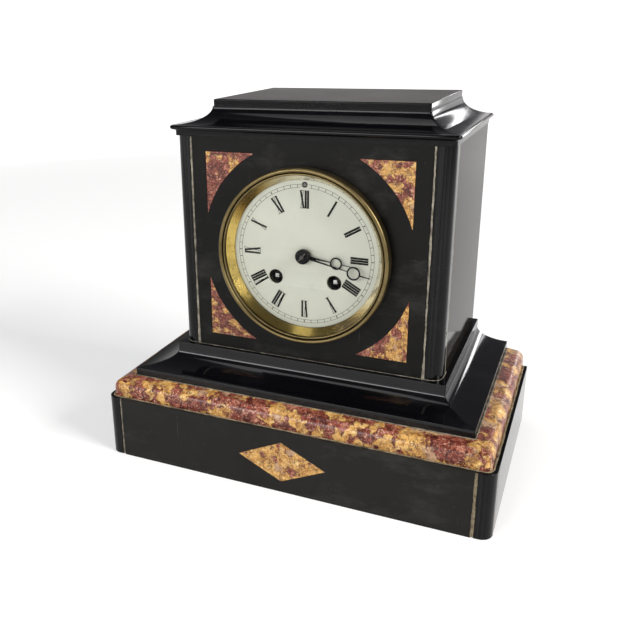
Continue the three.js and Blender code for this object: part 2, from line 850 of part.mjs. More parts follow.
// The point at two given distances from two arbors, left or right of the line between them
function meetingPoint(first, firstDistance, second, secondDistance, side) {
  const dx = second[0] - first[0];
  const dz = second[1] - first[1];
  const gap = Math.hypot(dx, dz);
  const along = (firstDistance ** 2 - secondDistance ** 2 + gap ** 2) / (2 * gap);
  const across = side * Math.sqrt(firstDistance ** 2 - along ** 2);
  return [
    first[0] + (along * dx - across * dz) / gap,
    first[1] + (along * dz + across * dx) / gap,
  ];
}

function polar(from, distance, angle) {
  return [from[0] + distance * Math.cos(angle * degree), from[1] + distance * Math.sin(angle * degree)];
}

const frontPlateY = frontPlateStand;
const innerFrontY = frontPlateY + plateThickness;
const innerBackY = innerFrontY + plateSpan;
const rearPlateY = innerBackY + plateThickness;

// Places of the arbors
const centrePlace = [0, 0];
const goingBarrelPlace = [windX, windZ];
const strikeBarrelPlace = [-windX, windZ];
const barrelMesh = meshDistance(barrelModule, barrelTeeth, trainPinion);
const intermediateMesh = meshDistance(intermediateModule, intermediateTeeth, trainPinion);
const intermediatePlace = meetingPoint(centrePlace, intermediateMesh, goingBarrelPlace, barrelMesh, 1);
const escapePlace = [0, escapeHeight];
const palletPlace = [0, palletHeight];
const thirdPlace = meetingPoint(centrePlace, meshDistance(centreModule, centreTeeth, finePinion),
  escapePlace, meshDistance(thirdModule, thirdTeeth, finePinion), 1);
const minutePlace = [0, meshDistance(cannonModule, minuteWheelTeeth, cannonTeeth)];
const hourModule = (2 * minutePlace[1]) / (hourTeeth + minutePinion);
const strikeSecondPlace = polar(strikeBarrelPlace, barrelMesh, strikeSecondAngle);
const pinWheelPlace = polar(strikeSecondPlace, intermediateMesh, pinWheelAngle);
const pinWheelMesh = meshDistance(pinWheelModule, pinWheelTeeth, trainPinion);
const warningPlace = polar(pinWheelPlace, pinWheelMesh, warningAngle);
const flyPlace = polar(warningPlace, meshDistance(warningModule, warningTeeth, finePinion), flyAngle);
const hammerPlace = [hammerX, hammerZ];
const regulatorPlace = [0, regulatorRadius];

// Depths of the wheels between the plates, counted back from the front plate
const barrelFrontY = innerFrontY + barrelStand;
const drumRearY = barrelFrontY + barrelDrumHeight;
const barrelRearY = drumRearY + barrelWheel;
const wheelStep = wheelThickness + pinionMargin * 2;
const strikeSecondY = barrelRearY + wheelStep - wheelThickness / 2;
const intermediateY = strikeSecondY + wheelStep + pinionMargin;
const centreY = intermediateY + wheelStep + wheelThickness + pinionMargin;
const thirdY = centreY + wheelStep + pinionMargin;
const escapeY = intermediateY + wheelThickness + pinionMargin;
const pinWheelY = barrelFrontY + pinWheelStand;
const warningY = pinWheelY + warningStep;
const flyFrontY = innerFrontY + barrelStand;

// Plates
function pivotHole(place, radius, sides = smallSides) {
  return ringOfPoints(radius + pivotClearance, sides, place[0], place[1]);
}
const stoutPivots = [
  centrePlace, intermediatePlace, palletPlace, strikeSecondPlace, pinWheelPlace, hammerPlace,
];
const finePivots = [thirdPlace, escapePlace, warningPlace, flyPlace];
const sharedPivots = [
  ...stoutPivots.map((place) => pivotHole(place, stoutArbor)),
  ...finePivots.map((place) => pivotHole(place, fineArbor)),
];
const barrelPlaces = [goingBarrelPlace, strikeBarrelPlace];
const windingPivots = barrelPlaces.map((place) => pivotHole(place, windingArbor, holeSides));
const rearWindingPivots = barrelPlaces.map((place) => pivotHole(place, windingSquare / 2));
const frontPlate = plateY(ringOfPoints(plateRadius, plateSides), frontPlateY, innerFrontY,
  [...sharedPivots, ...windingPivots, pivotHole(minutePlace, stoutArbor)]);
addPiece(works, "front_plate", frontPlate, brass);

// Back plate with its riveted pillars, suspension cock and bell stand
const pendulumY = rearPlateY + pendulumStand;
const cockRearY = pendulumY + springWidth / 2 + cockMargin;
const cockFootZ = palletHeight + cockMargin;
const cockTopZ = cockFootZ + cockHeight;
const jawGap = springStrip / 2 + runClearance;
const bellMouthY = rearPlateY + bellStand;
const bellApexY = bellMouthY + bellDepth;
const standY = bellMouthY + standReach;
let backPlate = plateY(ringOfPoints(plateRadius, plateSides), innerBackY, rearPlateY,
  [...sharedPivots, ...rearWindingPivots]);
for (const angle of [0, 50, 130, 180, 270]) {
  const [x, z] = polar(centrePlace, pillarPlace, angle);
  const rivetY = innerBackY + plateThickness / 2;
  backPlate = backPlate.add(drumY(pillarRadius, innerFrontY, rivetY, smallSides, x, z));
}
const cockFootY = rearPlateY - plateThickness / 2;
const cockFootLowZ = palletHeight - cockFootDrop;
backPlate = backPlate.add(block(-cockHalfWidth, cockHalfWidth, rearPlateY, cockRearY, cockFootZ, cockTopZ));
const jawFrontY = pendulumY - springWidth / 2;
const jawLowZ = cockFootZ - jawThickness;
const jawHighZ = cockFootZ + jawThickness;
for (const side of [-1, 1]) {
  const footX = [side * cockHalfWidth, (side * cockHalfWidth) / 2].sort((low, high) => low - high);
  const jawX = [side * jawGap, side * (jawGap + jawThickness)].sort((low, high) => low - high);
  backPlate = backPlate
    .add(block(...footX, cockFootY, rearPlateY + plateThickness / 2, cockFootLowZ, cockTopZ))
    .add(block(...jawX, jawFrontY, cockRearY, jawLowZ, jawHighZ));
}
const cockBore = stoutArbor + pivotClearance;
backPlate = backPlate
  .subtract(drumY(cockBore, rearPlateY - cutPast, cockRearY + cutPast, smallSides, 0, regulatorRadius));
const postRearY = bellApexY + bellSeatGap + bellNut;
const bellFoot = polar(centrePlace, bellFootPlace, bellFootAngle);
const standSide = polar(centrePlace, bellPost, bellFootAngle + 90);
const standStrip = [
  [standSide[0], standSide[1]],
  [-standSide[0], -standSide[1]],
  [bellFoot[0] - standSide[0], bellFoot[1] - standSide[1]],
  [bellFoot[0] + standSide[0], bellFoot[1] + standSide[1]],
];
backPlate = backPlate
  .add(drumY(bellPost, cockFootY, standY + standThickness, smallSides, ...bellFoot))
  .add(plateY(standStrip, standY, standY + standThickness))
  .add(drumY(bellPost, standY, postRearY, smallSides))
  .add(drumY(bellCollar, bellApexY + bellSeatGap, postRearY, smallSides))
  .add(drumY(bellCollar, standY, bellApexY - bellWall - bellSeatGap, smallSides));
addPiece(works, "back_plate", backPlate, brass);

// Wheels on their arbors
function arborY(radius, y0, y1) {
  return drumY(radius, y0, y1, smallSides);
}

function wheelAt(teeth, size, phase, y) {
  return plateY(gearOutline(teeth, size, phase, wheelForm), y, y + wheelThickness);
}

function pinionAt(leaves, size, phase, wheelY, depth = wheelThickness) {
  const outline = gearOutline(leaves, size, phase, pinionForm);
  return plateY(outline, wheelY - pinionMargin, wheelY + depth + pinionMargin);
}

const atPlace = ([x, z]) => [x, 0, z];

// Barrels with their mainsprings and winding arbors
function barrel(place, driven) {
  const teeth = gearOutline(barrelTeeth, barrelModule, wheelPhase(place, driven), wheelForm);
  return drumY(barrelDrum, barrelFrontY, drumRearY + barrelWheel / 2, midSides)
    .add(plateY(teeth, drumRearY, barrelRearY))
    .subtract(drumY(barrelDrum - barrelWall, barrelFrontY + barrelEnd, drumRearY, midSides))
    .subtract(drumY(windingArbor + pivotClearance, barrelFrontY - cutPast, barrelRearY + cutPast, holeSides));
}

const springOuter = barrelDrum - barrelWall - runClearance * 2;

function mainspring() {
  const outer = [];
  const inner = [];
  const steps = springTurns * springSteps;
  for (let step = 0; step <= steps; step += 1) {
    const angle = (step / steps) * springTurns * 2 * Math.PI;
    const radius = springInner + ((springOuter - springInner - springThickness) * step) / steps;
    inner.push([radius * Math.cos(angle), radius * Math.sin(angle)]);
    const outside = radius + springThickness;
    outer.push([outside * Math.cos(angle), outside * Math.sin(angle)]);
  }
  const front = barrelFrontY + barrelEnd + pinionMargin;
  return plateY([...outer, ...inner.reverse()], front, drumRearY - pinionMargin);
}

function windingArborPiece() {
  const shoulderY = frontPlateY - ratchetThickness - pinionMargin * 2;
  const half = windingSquare / 2;
  const ratchet = sawOutline(ratchetTeeth, ratchetRadius, ratchetDepth);
  return arborY(windingArbor, shoulderY, innerBackY - pinionMargin)
    .add(arborY(half, innerBackY - pinionMargin * 2, rearPlateY))
    .add(block(-half, half, windingRecess, shoulderY + ratchetThickness, -half, half))
    .add(plateY(ratchet, shoulderY, shoulderY + ratchetThickness));
}

const trains = [
  ["going", goingBarrelPlace, intermediatePlace],
  ["strike", strikeBarrelPlace, strikeSecondPlace],
];
for (const [train, place, driven] of trains) {
  addPiece(works, `${train}_barrel`, barrel(place, driven), brass, atPlace(place));
  addPiece(works, `${train}_mainspring`, mainspring(), steel, atPlace(place));
  addPiece(works, `${train}_winding_arbor`, windingArborPiece(), steel, atPlace(place));
}

// Going train
const intermediateWheel = arborY(stoutArbor, frontPlateY, rearPlateY)
  .add(pinionAt(trainPinion, barrelModule, pinionPhase(goingBarrelPlace, intermediatePlace, trainPinion),
    drumRearY, barrelWheel))
  .add(wheelAt(intermediateTeeth, intermediateModule, wheelPhase(intermediatePlace, centrePlace),
    intermediateY));
addPiece(works, "intermediate_wheel", intermediateWheel, brass, atPlace(intermediatePlace));

const centreWheel = arborY(stoutArbor, cannonFrontY + runClearance, rearPlateY)
  .add(pinionAt(trainPinion, intermediateModule, pinionPhase(intermediatePlace, centrePlace, trainPinion),
    intermediateY))
  .add(wheelAt(centreTeeth, centreModule, wheelPhase(centrePlace, thirdPlace), centreY));
addPiece(works, "centre_wheel", centreWheel, brass, atPlace(centrePlace));

const thirdWheel = arborY(fineArbor, frontPlateY, rearPlateY)
  .add(pinionAt(finePinion, centreModule, pinionPhase(centrePlace, thirdPlace, finePinion), centreY))
  .add(wheelAt(thirdTeeth, thirdModule, wheelPhase(thirdPlace, escapePlace), thirdY));
addPiece(works, "third_wheel", thirdWheel, brass, atPlace(thirdPlace));

const escapeWheel = arborY(fineArbor, frontPlateY, rearPlateY)
  .add(pinionAt(finePinion, thirdModule, pinionPhase(thirdPlace, escapePlace, finePinion), thirdY))
  .add(plateY(sawOutline(escapeTeeth, escapeRadius, escapeDepth), escapeY, escapeY + wheelThickness));
addPiece(works, "escape_wheel", escapeWheel, brass, atPlace(escapePlace));

// Anchor with its crutch, drawn about its own arbor
const anchorReach = palletHeight - escapeHeight;
const aboutEscape = (radius, angle) => [
  radius * Math.sin(angle * degree),
  radius * Math.cos(angle * degree) - anchorReach,
];
const palletTip = escapeRadius + palletGap;
const anchorHalf = [
  [0, anchorRise],
  [anchorShoulder, stoutArbor],
  aboutEscape(palletTip + palletReach, palletAngle + 2),
  aboutEscape(palletTip + palletNib, palletAngle + 8),
  aboutEscape(palletTip, palletAngle),
  aboutEscape(palletTip + palletNib, palletAngle / 2),
  aboutEscape(palletTip + anchorWaist, 0),
];
const anchorOutline = [...anchorHalf, ...mirrorX(anchorHalf.slice(1, -1)).reverse()];
const crutchY = rearPlateY + crutchStand;
const crutchRearY = crutchY + wheelThickness;
const forkNear = rodRadius + runClearance * 2;
const forkFar = forkNear + crutchHalf;
const forkLowZ = -crutchDrop - forkHeight;
const forkRearY = pendulumY + rodRadius * 2;
const anchor = arborY(stoutArbor, frontPlateY, crutchRearY)
  .add(plateY(anchorOutline, escapeY, escapeY + wheelThickness))
  .add(block(-crutchHalf, crutchHalf, crutchY, crutchRearY, -crutchDrop, stoutArbor / 2))
  .add(block(-forkFar, forkFar, crutchY, crutchRearY, forkLowZ, -crutchDrop + stoutArbor / 2))
  .add(block(-forkFar, -forkNear, crutchY, forkRearY, forkLowZ, -crutchDrop))
  .add(block(forkNear, forkFar, crutchY, forkRearY, forkLowZ, -crutchDrop));
addPiece(works, "pallet_anchor", anchor, steel, atPlace(palletPlace));

// Pendulum, drawn about its swing axis
const stripTop = cockFootZ - palletHeight - runClearance;
const rodHead = -rodHeadDrop;
const rodShoulder = rodHead - rodHeadHeight / 2;
const halfStrip = springStrip / 2;
const halfSpring = springWidth / 2;
const rodFoot = -pendulumLength - bobRadius - nutHeight - nutStand * 2;
const nutFoot = rodFoot + nutStand;
const pendulumRod = block(-halfStrip, halfStrip, -halfSpring, halfSpring, rodShoulder, stripTop)
  .add(block(-rodHeadHalf, rodHeadHalf, -halfSpring, halfSpring, rodHead - rodHeadHeight, rodHead))
  .add(drumZ(rodRadius, rodFoot, rodShoulder, smallSides))
  .add(drumZ(nutRadius, nutFoot, nutFoot + nutHeight, holeSides));
addPiece(works, "pendulum_rod", pendulumRod, steel, [0, pendulumY, palletHeight]);
const bobHalf = bobThickness / 2;
const bobFace = [[0, 1], [0.45, 0.85], [0.8, 0.5], [1, 0.12]]
  .map(([across, thick]) => [across * bobRadius, thick * bobHalf]);
const bobRear = bobFace.map(([radius, depth]) => [radius, depth]).reverse();
const bobFront = bobFace.map(([radius, depth]) => [radius, -depth]);
const bobReach = bobRadius + cutPast;
const pendulumBob = turned([...bobFront, ...bobRear], midSides)
  .subtract(drumZ(rodRadius + pivotClearance, -bobReach, bobReach, smallSides));
addPiece(works, "pendulum_bob", pendulumBob, brass, [0, pendulumY, palletHeight - pendulumLength]);

// Regulator arbor, from its square in the dial to the suspension cock
const halfRegulator = regulatorSquare / 2;
const regulatorArbor = arborY(stoutArbor, dialThickness + regulatorSquare, cockRearY)
  .add(block(-halfRegulator, halfRegulator, regulatorRecess, dialThickness + regulatorSquare * 2,
    -halfRegulator, halfRegulator));
addPiece(works, "regulator_arbor", regulatorArbor, steel, atPlace(regulatorPlace));

// Motion work
const cannonTeethY = frontPlateY - pinionMargin - wheelThickness - pinionMargin * 2;
const hourWheelY = cannonTeethY - wheelStep - pinionMargin;
const cannonBore = stoutArbor + runClearance;
const cannonPhase = pinionPhase(minutePlace, centrePlace, cannonTeeth);
const cannonPinion = pinionAt(cannonTeeth, cannonModule, cannonPhase, cannonTeethY)
  .add(drumY(cannonPipe, cannonFrontY, cannonTeethY + wheelThickness, holeSides))
  .subtract(drumY(cannonBore, cannonFrontY - cutPast, frontPlateY, smallSides));
addPiece(works, "cannon_pinion", cannonPinion, steel);

const minuteWheel = arborY(stoutArbor, hourWheelY - pinionMargin, innerFrontY)
  .add(wheelAt(minuteWheelTeeth, cannonModule, wheelPhase(minutePlace, centrePlace), cannonTeethY))
  .add(pinionAt(minutePinion, hourModule, pinionPhase(centrePlace, minutePlace, minutePinion), hourWheelY));
addPiece(works, "minute_wheel", minuteWheel, brass, atPlace(minutePlace));

const hourWheel = wheelAt(hourTeeth, hourModule, wheelPhase(centrePlace, minutePlace), hourWheelY)
  .add(drumY(hourPipeOuter, hourFrontY - runClearance / 2, hourWheelY + wheelThickness / 2, holeSides))
  .subtract(drumY(hourPipeInner, hourFrontY - cutPast, hourWheelY + wheelThickness + cutPast, holeSides));
addPiece(works, "hour_wheel", hourWheel, brass);

// Strike train
const strikeSecond = arborY(stoutArbor, frontPlateY, rearPlateY)
  .add(pinionAt(trainPinion, barrelModule, pinionPhase(strikeBarrelPlace, strikeSecondPlace, trainPinion),
    drumRearY, barrelWheel))
  .add(wheelAt(intermediateTeeth, intermediateModule, wheelPhase(strikeSecondPlace, pinWheelPlace),
    strikeSecondY));
addPiece(works, "strike_second_wheel", strikeSecond, brass, atPlace(strikeSecondPlace));

let pinWheel = arborY(stoutArbor, frontPlateY, rearPlateY)
  .add(pinionAt(trainPinion, intermediateModule, pinionPhase(strikeSecondPlace, pinWheelPlace, trainPinion),
    strikeSecondY))
  .add(wheelAt(pinWheelTeeth, pinWheelModule, wheelPhase(pinWheelPlace, warningPlace), pinWheelY));
const liftPinPlace = (pinWheelTeeth * pinWheelModule) / 2 - liftPinInset;
const liftPinRearY = pinWheelY + wheelThickness / 2;
for (let pin = 0; pin < liftPins; pin += 1) {
  const [x, z] = polar([0, 0], liftPinPlace, (pin * 360) / liftPins);
  pinWheel = pinWheel.add(drumY(liftPinRadius, pinWheelY - liftPinLength, liftPinRearY, pinSides, x, z));
}
addPiece(works, "strike_pin_wheel", pinWheel, brass, atPlace(pinWheelPlace));

const warningWheel = arborY(fineArbor, frontPlateY, rearPlateY)
  .add(pinionAt(trainPinion, pinWheelModule, pinionPhase(pinWheelPlace, warningPlace, trainPinion),
    pinWheelY))
  .add(wheelAt(warningTeeth, warningModule, wheelPhase(warningPlace, flyPlace), warningY));
addPiece(works, "strike_warning_wheel", warningWheel, brass, atPlace(warningPlace));

const strikeFly = arborY(fineArbor, frontPlateY, rearPlateY)
  .add(pinionAt(finePinion, warningModule, pinionPhase(warningPlace, flyPlace, finePinion), warningY))
  .add(block(-flyHalfWidth, flyHalfWidth, flyFrontY, flyFrontY + flyLength,
    -flyThickness / 2, flyThickness / 2));
addPiece(works, "strike_fly", strikeFly, brass, atPlace(flyPlace));

// Bell on its stand, and the hammer beside it
const bellOuterArc = [];
const bellInnerArc = [];
const bellSteps = 5;
const bellBore = bellPost + runClearance;
for (let step = 0; step <= bellSteps; step += 1) {
  const angle = (step / bellSteps) * Math.acos(bellBore / bellRadius);
  const innerAngle = (step / bellSteps) * Math.acos(bellBore / (bellRadius - bellWall));
  bellOuterArc.push([bellRadius * Math.cos(angle), bellMouthY + bellDepth * Math.sin(angle)]);
  bellInnerArc.push([
    (bellRadius - bellWall) * Math.cos(innerAngle),
    bellMouthY + (bellDepth - bellWall) * Math.sin(innerAngle),
  ]);
}
addPiece(works, "bell", turned([...bellOuterArc, ...bellInnerArc.reverse()], midSides), bellMetal);

const hammerReach = bellRadius + hammerGap + hammerHead;
const hammerHeadZ = hammerZ - hammerDrop;
const hammerHeadX = -Math.sqrt(hammerReach ** 2 - hammerHeadZ ** 2);
const headAcross = hammerHeadX - hammerX;
const hammerY = bellMouthY + hammerStand;
const hammerRearY = hammerY + hammerThickness;
const halfShank = hammerShank / 2;
const hammerOutline = [
  [-halfShank, halfShank],
  [halfShank, halfShank],
  [headAcross + halfShank, -hammerDrop],
  [headAcross - halfShank, -hammerDrop],
];
const headFrontY = bellMouthY + hammerHeadStart;
const hammer = arborY(stoutArbor, frontPlateY, hammerRearY)
  .add(plateY(hammerOutline, hammerY, hammerRearY))
  .add(drumY(hammerHead, headFrontY, hammerY + hammerStand, holeSides, headAcross, -hammerDrop));
addPiece(works, "hammer", hammer, steel, atPlace(hammerPlace));

// Back ring and lift out cover
const backRingInner = ringOuter - backRingTube;
const backRing = turned([
  [backRingInner, rearY - backRingDepth],
  [ringOuter, rearY - backRingDepth],
  [ringOuter, rearY - backRingFlangeDepth],
  [backRingOuter, rearY - backRingFlangeDepth],
  [backRingOuter, rearY],
  [backRingInner, rearY],
], rearSides);
addPiece(works, "back_ring", backRing, gilt);

const coverRadius = backRingInner - runClearance;
const coverRearY = rearY - coverSetback;
const coverFrontY = coverRearY - coverThickness;
let cover = turned([
  [0, coverFrontY],
  [coverRadius - coverThickness, coverFrontY],
  [coverRadius - coverThickness, coverRearY - coverRim],
  [coverRadius, coverRearY - coverRim],
  [coverRadius, coverRearY],
  [coverKnob, coverRearY],
  [coverKnobNeck, coverRearY + coverKnobRise],
  [coverKnob, rearY - coverKnobSetback],
  [0, rearY - coverKnobSetback],
], rearSides);
for (let vent = 0; vent < coverVents; vent += 1) {
  const [x, z] = polar([0, 0], coverVentPlace, (vent * 360) / coverVents);
  cover = cover.subtract(
    drumY(coverVentRadius, coverFrontY - cutPast, coverRearY + cutPast, smallSides, x, z));
}
addPiece(works, "back_cover", cover, brass);

export default clock;
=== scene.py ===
"""Looks of the marble table clock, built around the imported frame. Sizes are in millimetres."""
import math
import random

import bmesh
import bpy
from mathutils import Matrix, Vector


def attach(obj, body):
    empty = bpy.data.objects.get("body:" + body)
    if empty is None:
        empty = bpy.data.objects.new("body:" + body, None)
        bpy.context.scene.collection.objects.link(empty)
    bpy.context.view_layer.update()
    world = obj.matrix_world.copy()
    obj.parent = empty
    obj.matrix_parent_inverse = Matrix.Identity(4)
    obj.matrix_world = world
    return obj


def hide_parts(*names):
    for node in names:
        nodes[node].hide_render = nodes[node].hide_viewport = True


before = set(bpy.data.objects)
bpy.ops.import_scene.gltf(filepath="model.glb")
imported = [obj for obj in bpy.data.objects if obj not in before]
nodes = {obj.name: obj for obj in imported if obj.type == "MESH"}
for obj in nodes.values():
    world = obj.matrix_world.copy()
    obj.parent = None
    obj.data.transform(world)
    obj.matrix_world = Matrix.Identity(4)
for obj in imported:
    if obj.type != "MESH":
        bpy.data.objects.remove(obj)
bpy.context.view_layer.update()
scene = bpy.context.scene

MM = 0.001
FULL = 2 * math.pi

# Case sizes, the same as the stonework of the frame
HALF, FRONT, BACK = 126.0, -76.5, 76.5
PLINTH_TOP, BAND_TOP, MOULDING_TOP = 42.0, 54.0, 73.0
BODY_TOP, CORNICE_TOP, COVE_TOP, CAP_TOP = 211.0, 217.0, 227.2, 231.6
BODY_HALF, BODY_FRONT = 86.0, -36.5
POST_INNER, COLUMN_INNER, SLAB, CORNER = 115.7, 75.7, 12.0, 7.0
JOINT, BEVEL, MITRE, CORNER_STEPS = 0.8, 0.6, 0.2, 8
DIAL_Z = 142.0


# Helpers for meshes and pieces
def place_mesh(name, mesh, smooth):
    """An object from a mesh, its doubled points joined and its normals turned outward."""
    shell = bmesh.new()
    shell.from_mesh(mesh)
    bmesh.ops.remove_doubles(shell, verts=shell.verts, dist=1e-7)
    bmesh.ops.recalc_face_normals(shell, faces=shell.faces)
    shell.to_mesh(mesh)
    shell.free()
    mesh.shade_smooth()
    mesh.set_sharp_from_angle(angle=math.radians(smooth))
    made = bpy.data.objects.new(name, mesh)
    scene.collection.objects.link(made)
    return made


def add_object(name, verts, faces, smooth=40):
    mesh = bpy.data.meshes.new(name)
    mesh.from_pydata([Vector(v) * MM for v in verts], [], faces)
    return place_mesh(name, mesh, smooth)


def paint_nodes(material, *names):
    """A material for solids that keep the frame's own shapes."""
    for name in names:
        nodes[name].data.materials[0] = material


def dress(piece, material, body="case", replaced=()):
    """A piece with its material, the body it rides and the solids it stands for."""
    piece.data.materials.clear()
    piece.data.materials.append(material)
    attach(piece, body)
    if replaced:
        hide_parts(*replaced)


def ease_edges(piece, width, segments=2):
    """Rounds the sharp edges of a piece."""
    edge = piece.modifiers.new("eased_edges", "BEVEL")
    edge.width = width * MM
    edge.segments = segments
    edge.limit_method = "ANGLE"
    edge.angle_limit = math.radians(35)
    edge.harden_normals = True


def ellipse(x, y, across, up, start, end, count):
    """Points of an ellipse about x, y, from one angle to another."""
    steps = [start + (end - start) * i / count for i in range(count + 1)]
    return [(x + across * math.cos(a), y + up * math.sin(a)) for a in steps]


def arc(x, y, radius, start, end, count):
    return ellipse(x, y, radius, radius, start, end, count)


def skin(rings, closed=True):
    """Faces between rings of equal length, each ring a closed loop, the ends capped where closed is set."""
    count = len(rings[0])
    faces = []
    for level in range(len(rings) - 1):
        for i in range(count):
            j = (i + 1) % count
            near, far = level * count, (level + 1) * count
            faces.append((near + i, near + j, far + j, far + i))
    if closed:
        last = (len(rings) - 1) * count
        faces.append(tuple(range(count)))
        faces.append(tuple(range(last, last + count)))
    return [v for ring in rings for v in ring], faces


def lathe(name, section, sides=160, smooth=40, middle=DIAL_Z):
    """A ring turned about the dial's axis, or one at another height, from a section of radius and depth."""
    verts, faces = [], []
    count = len(section)
    for i in range(sides):
        a = FULL * i / sides
        verts += [(r * math.cos(a), BODY_FRONT + y, middle + r * math.sin(a)) for r, y in section]
    for i in range(sides):
        for k in range(count):
            near, far = i * count, ((i + 1) % sides) * count
            faces.append((near + k, near + (k + 1) % count, far + (k + 1) % count, far + k))
    return add_object(name, verts, faces, smooth)


def weld(piece, other):
    """Adds the shape of another object to a piece and removes that object."""
    shell = bmesh.new()
    shell.from_mesh(piece.data)
    shell.from_mesh(other.data)
    shell.to_mesh(piece.data)
    shell.free()
    bpy.data.objects.remove(other)


def prism(outline, low, high):
    """Corners and faces of an outline carried straight up."""
    return skin([[(x, y, low) for x, y in outline], [(x, y, high) for x, y in outline]])


def corner_path(inset, start, end, radius):
    """The outer corner of a run at an inset: an arc while it lasts, then the mitre's point."""
    left = radius - inset
    if left <= 0:
        return [(HALF - inset, FRONT + inset)] * (CORNER_STEPS + 1)
    return arc(HALF - radius, FRONT + radius, left, start, end, CORNER_STEPS)


def front_run(section, radius):
    """A moulding across the front, a section of inset and height, mitred at both corners."""
    rings = []
    paths = [corner_path(inset, -FULL / 4, -FULL / 8, radius) for inset, _ in section]
    for side in (-1, 1):
        for k in range(CORNER_STEPS, -1, -1) if side < 0 else range(CORNER_STEPS + 1):
            rings.append([(side * (path[k][0] - MITRE), path[k][1], z)
                          for path, (_, z) in zip(paths, section)])
    return skin(rings)


def side_run(section, side, radius):
    """A moulding along one side, mitred at the front and square at the back."""
    paths = [corner_path(inset, -FULL / 8, 0, radius) for inset, _ in section]
    rings = [[(side * path[k][0], path[k][1] + MITRE, z) for path, (_, z) in zip(paths, section)]
             for k in range(CORNER_STEPS + 1)]
    rings.append([(side * (HALF - inset), BACK, z) for inset, z in section])
    return skin(rings)


def moulded_slab(levels, corner):
    """A slab with a moulded front and sides, from levels of inset and height, and a plain back."""
    rings = []
    for inset, z in levels:
        half, front = HALF - inset, FRONT + inset
        right = arc(half - corner, front + corner, corner, -FULL / 4, 0, 10)
        loop = [(-x, y) for x, y in reversed(right)] + right + [(half, BACK), (-half, BACK)]
        rings.append([(x, y, z) for x, y in loop])
    return skin(rings)


def plate(name, outlines, front, rear, edge):
    """A flat plate with holes, cut from closed outlines seen from the front, with rounded edges."""
    curve = bpy.data.curves.new(name, "CURVE")
    curve.dimensions = "2D"
    curve.fill_mode = "BOTH"
    curve.extrude = ((rear - front) / 2 - edge) * MM
    curve.bevel_depth = edge * MM
    curve.bevel_resolution = 2
    curve.offset = -edge * MM
    for outline in outlines:
        spline = curve.splines.new("POLY")
        spline.points.add(len(outline) - 1)
        for point, (x, z) in zip(spline.points, outline):
            point.co = (x * MM, z * MM, 0, 1)
        spline.use_cyclic_u = True
    holder = bpy.data.objects.new(name + "_outline", curve)
    scene.collection.objects.link(holder)
    depsgraph = bpy.context.evaluated_depsgraph_get()
    mesh = bpy.data.meshes.new_from_object(holder.evaluated_get(depsgraph))
    bpy.data.objects.remove(holder)
    bpy.data.curves.remove(curve)
    upright = Matrix.Translation((0, (BODY_FRONT + (front + rear) / 2) * MM, DIAL_Z * MM))
    mesh.transform(upright @ Matrix.Rotation(FULL / 4, 4, "X"))
    mesh.name = name
    return place_mesh(name, mesh, 50)


def circle(radius, count, x=0.0, z=0.0):
    angles = [FULL * i / count for i in range(count)]
    return [(x + radius * math.cos(a), z + radius * math.sin(a)) for a in angles]


# Material helpers
class Surface:
    """A node material with one Principled shader and short calls for its nodes."""

    def __init__(self, name, **sockets):
        self.material = bpy.data.materials.new(name)
        self.material.use_nodes = True
        self.tree = self.material.node_tree
        self.shader = self.tree.nodes["Principled BSDF"]
        for socket, value in sockets.items():
            self.shader.inputs[socket.replace("_", " ")].default_value = value
        self.coords = self.tree.nodes.new("ShaderNodeTexCoord").outputs["Object"]

    def node(self, kind, inputs=None, **settings):
        made = self.tree.nodes.new("ShaderNode" + kind)
        for key, value in settings.items():
            setattr(made, key, value)
        for key, value in (inputs or {}).items():
            if isinstance(value, bpy.types.NodeSocket):
                self.tree.links.new(value, made.inputs[key])
            else:
                made.inputs[key].default_value = value
        return made

    def link(self, value, socket):
        self.tree.links.new(value, self.shader.inputs[socket])

    def mapped(self, offset=(0, 0, 0), scale=(1, 1, 1), turn=(0, 0, 0)):
        place = {"Vector": self.coords, "Location": offset, "Rotation": turn, "Scale": scale}
        return self.node("Mapping", place).outputs["Vector"]

    def noise(self, vector, scale, detail=4.0, rough=0.55):
        values = {"Vector": vector, "Scale": scale, "Detail": detail, "Roughness": rough}
        return self.node("TexNoise", values).outputs["Fac"]

    def cells(self, vector, scale, feature="F1"):
        return self.node("TexVoronoi", {"Vector": vector, "Scale": scale}, feature=feature)

    def math(self, kind, a, b=0.0):
        return self.node("Math", {0: a, 1: b}, operation=kind).outputs[0]

    def inverse(self, value):
        return self.math("SUBTRACT", 1.0, value)

    def vector(self, kind, a, b=(0, 0, 0)):
        made = self.node("VectorMath", {0: a, 1: b}, operation=kind)
        return made.outputs["Value" if kind in ("LENGTH", "DOT_PRODUCT") else "Vector"]

    def split(self, colour):
        return self.node("SeparateColor", {"Color": colour}).outputs

    def ramp(self, value, stops):
        made = self.node("ValToRGB", {"Fac": value})
        points = made.color_ramp.elements
        while len(points) < len(stops):
            points.new(0.5)
        for point, (place, colour) in zip(points, stops):
            point.position = place
            point.color = (*colour, 1)
        return made.outputs["Color"]

    def step(self, value, low, high):
        limits = {"Value": value, "From Min": low, "From Max": high}
        return self.node("MapRange", limits).outputs["Result"]

    def blend(self, share, first, second):
        made = self.node("Mix", data_type="RGBA")
        for index, value in ((0, share), (6, first), (7, second)):
            socket = made.inputs[index]
            if isinstance(value, bpy.types.NodeSocket):
                self.tree.links.new(value, socket)
            else:
                socket.default_value = (*value, 1)
        return made.outputs[2]

    def bump(self, height, strength, distance=0.2):
        values = {"Height": height, "Strength": strength, "Distance": distance * MM}
        self.link(self.node("Bump", values).outputs["Normal"], "Normal")


# Tone of the level faces: a painted reflection of the surroundings over thin dust
DUST_AND_SHEEN_TONE = (0.215, 0.168, 0.165)
LEVEL_FROM, LEVEL_FULL = 0.9996, 0.9999


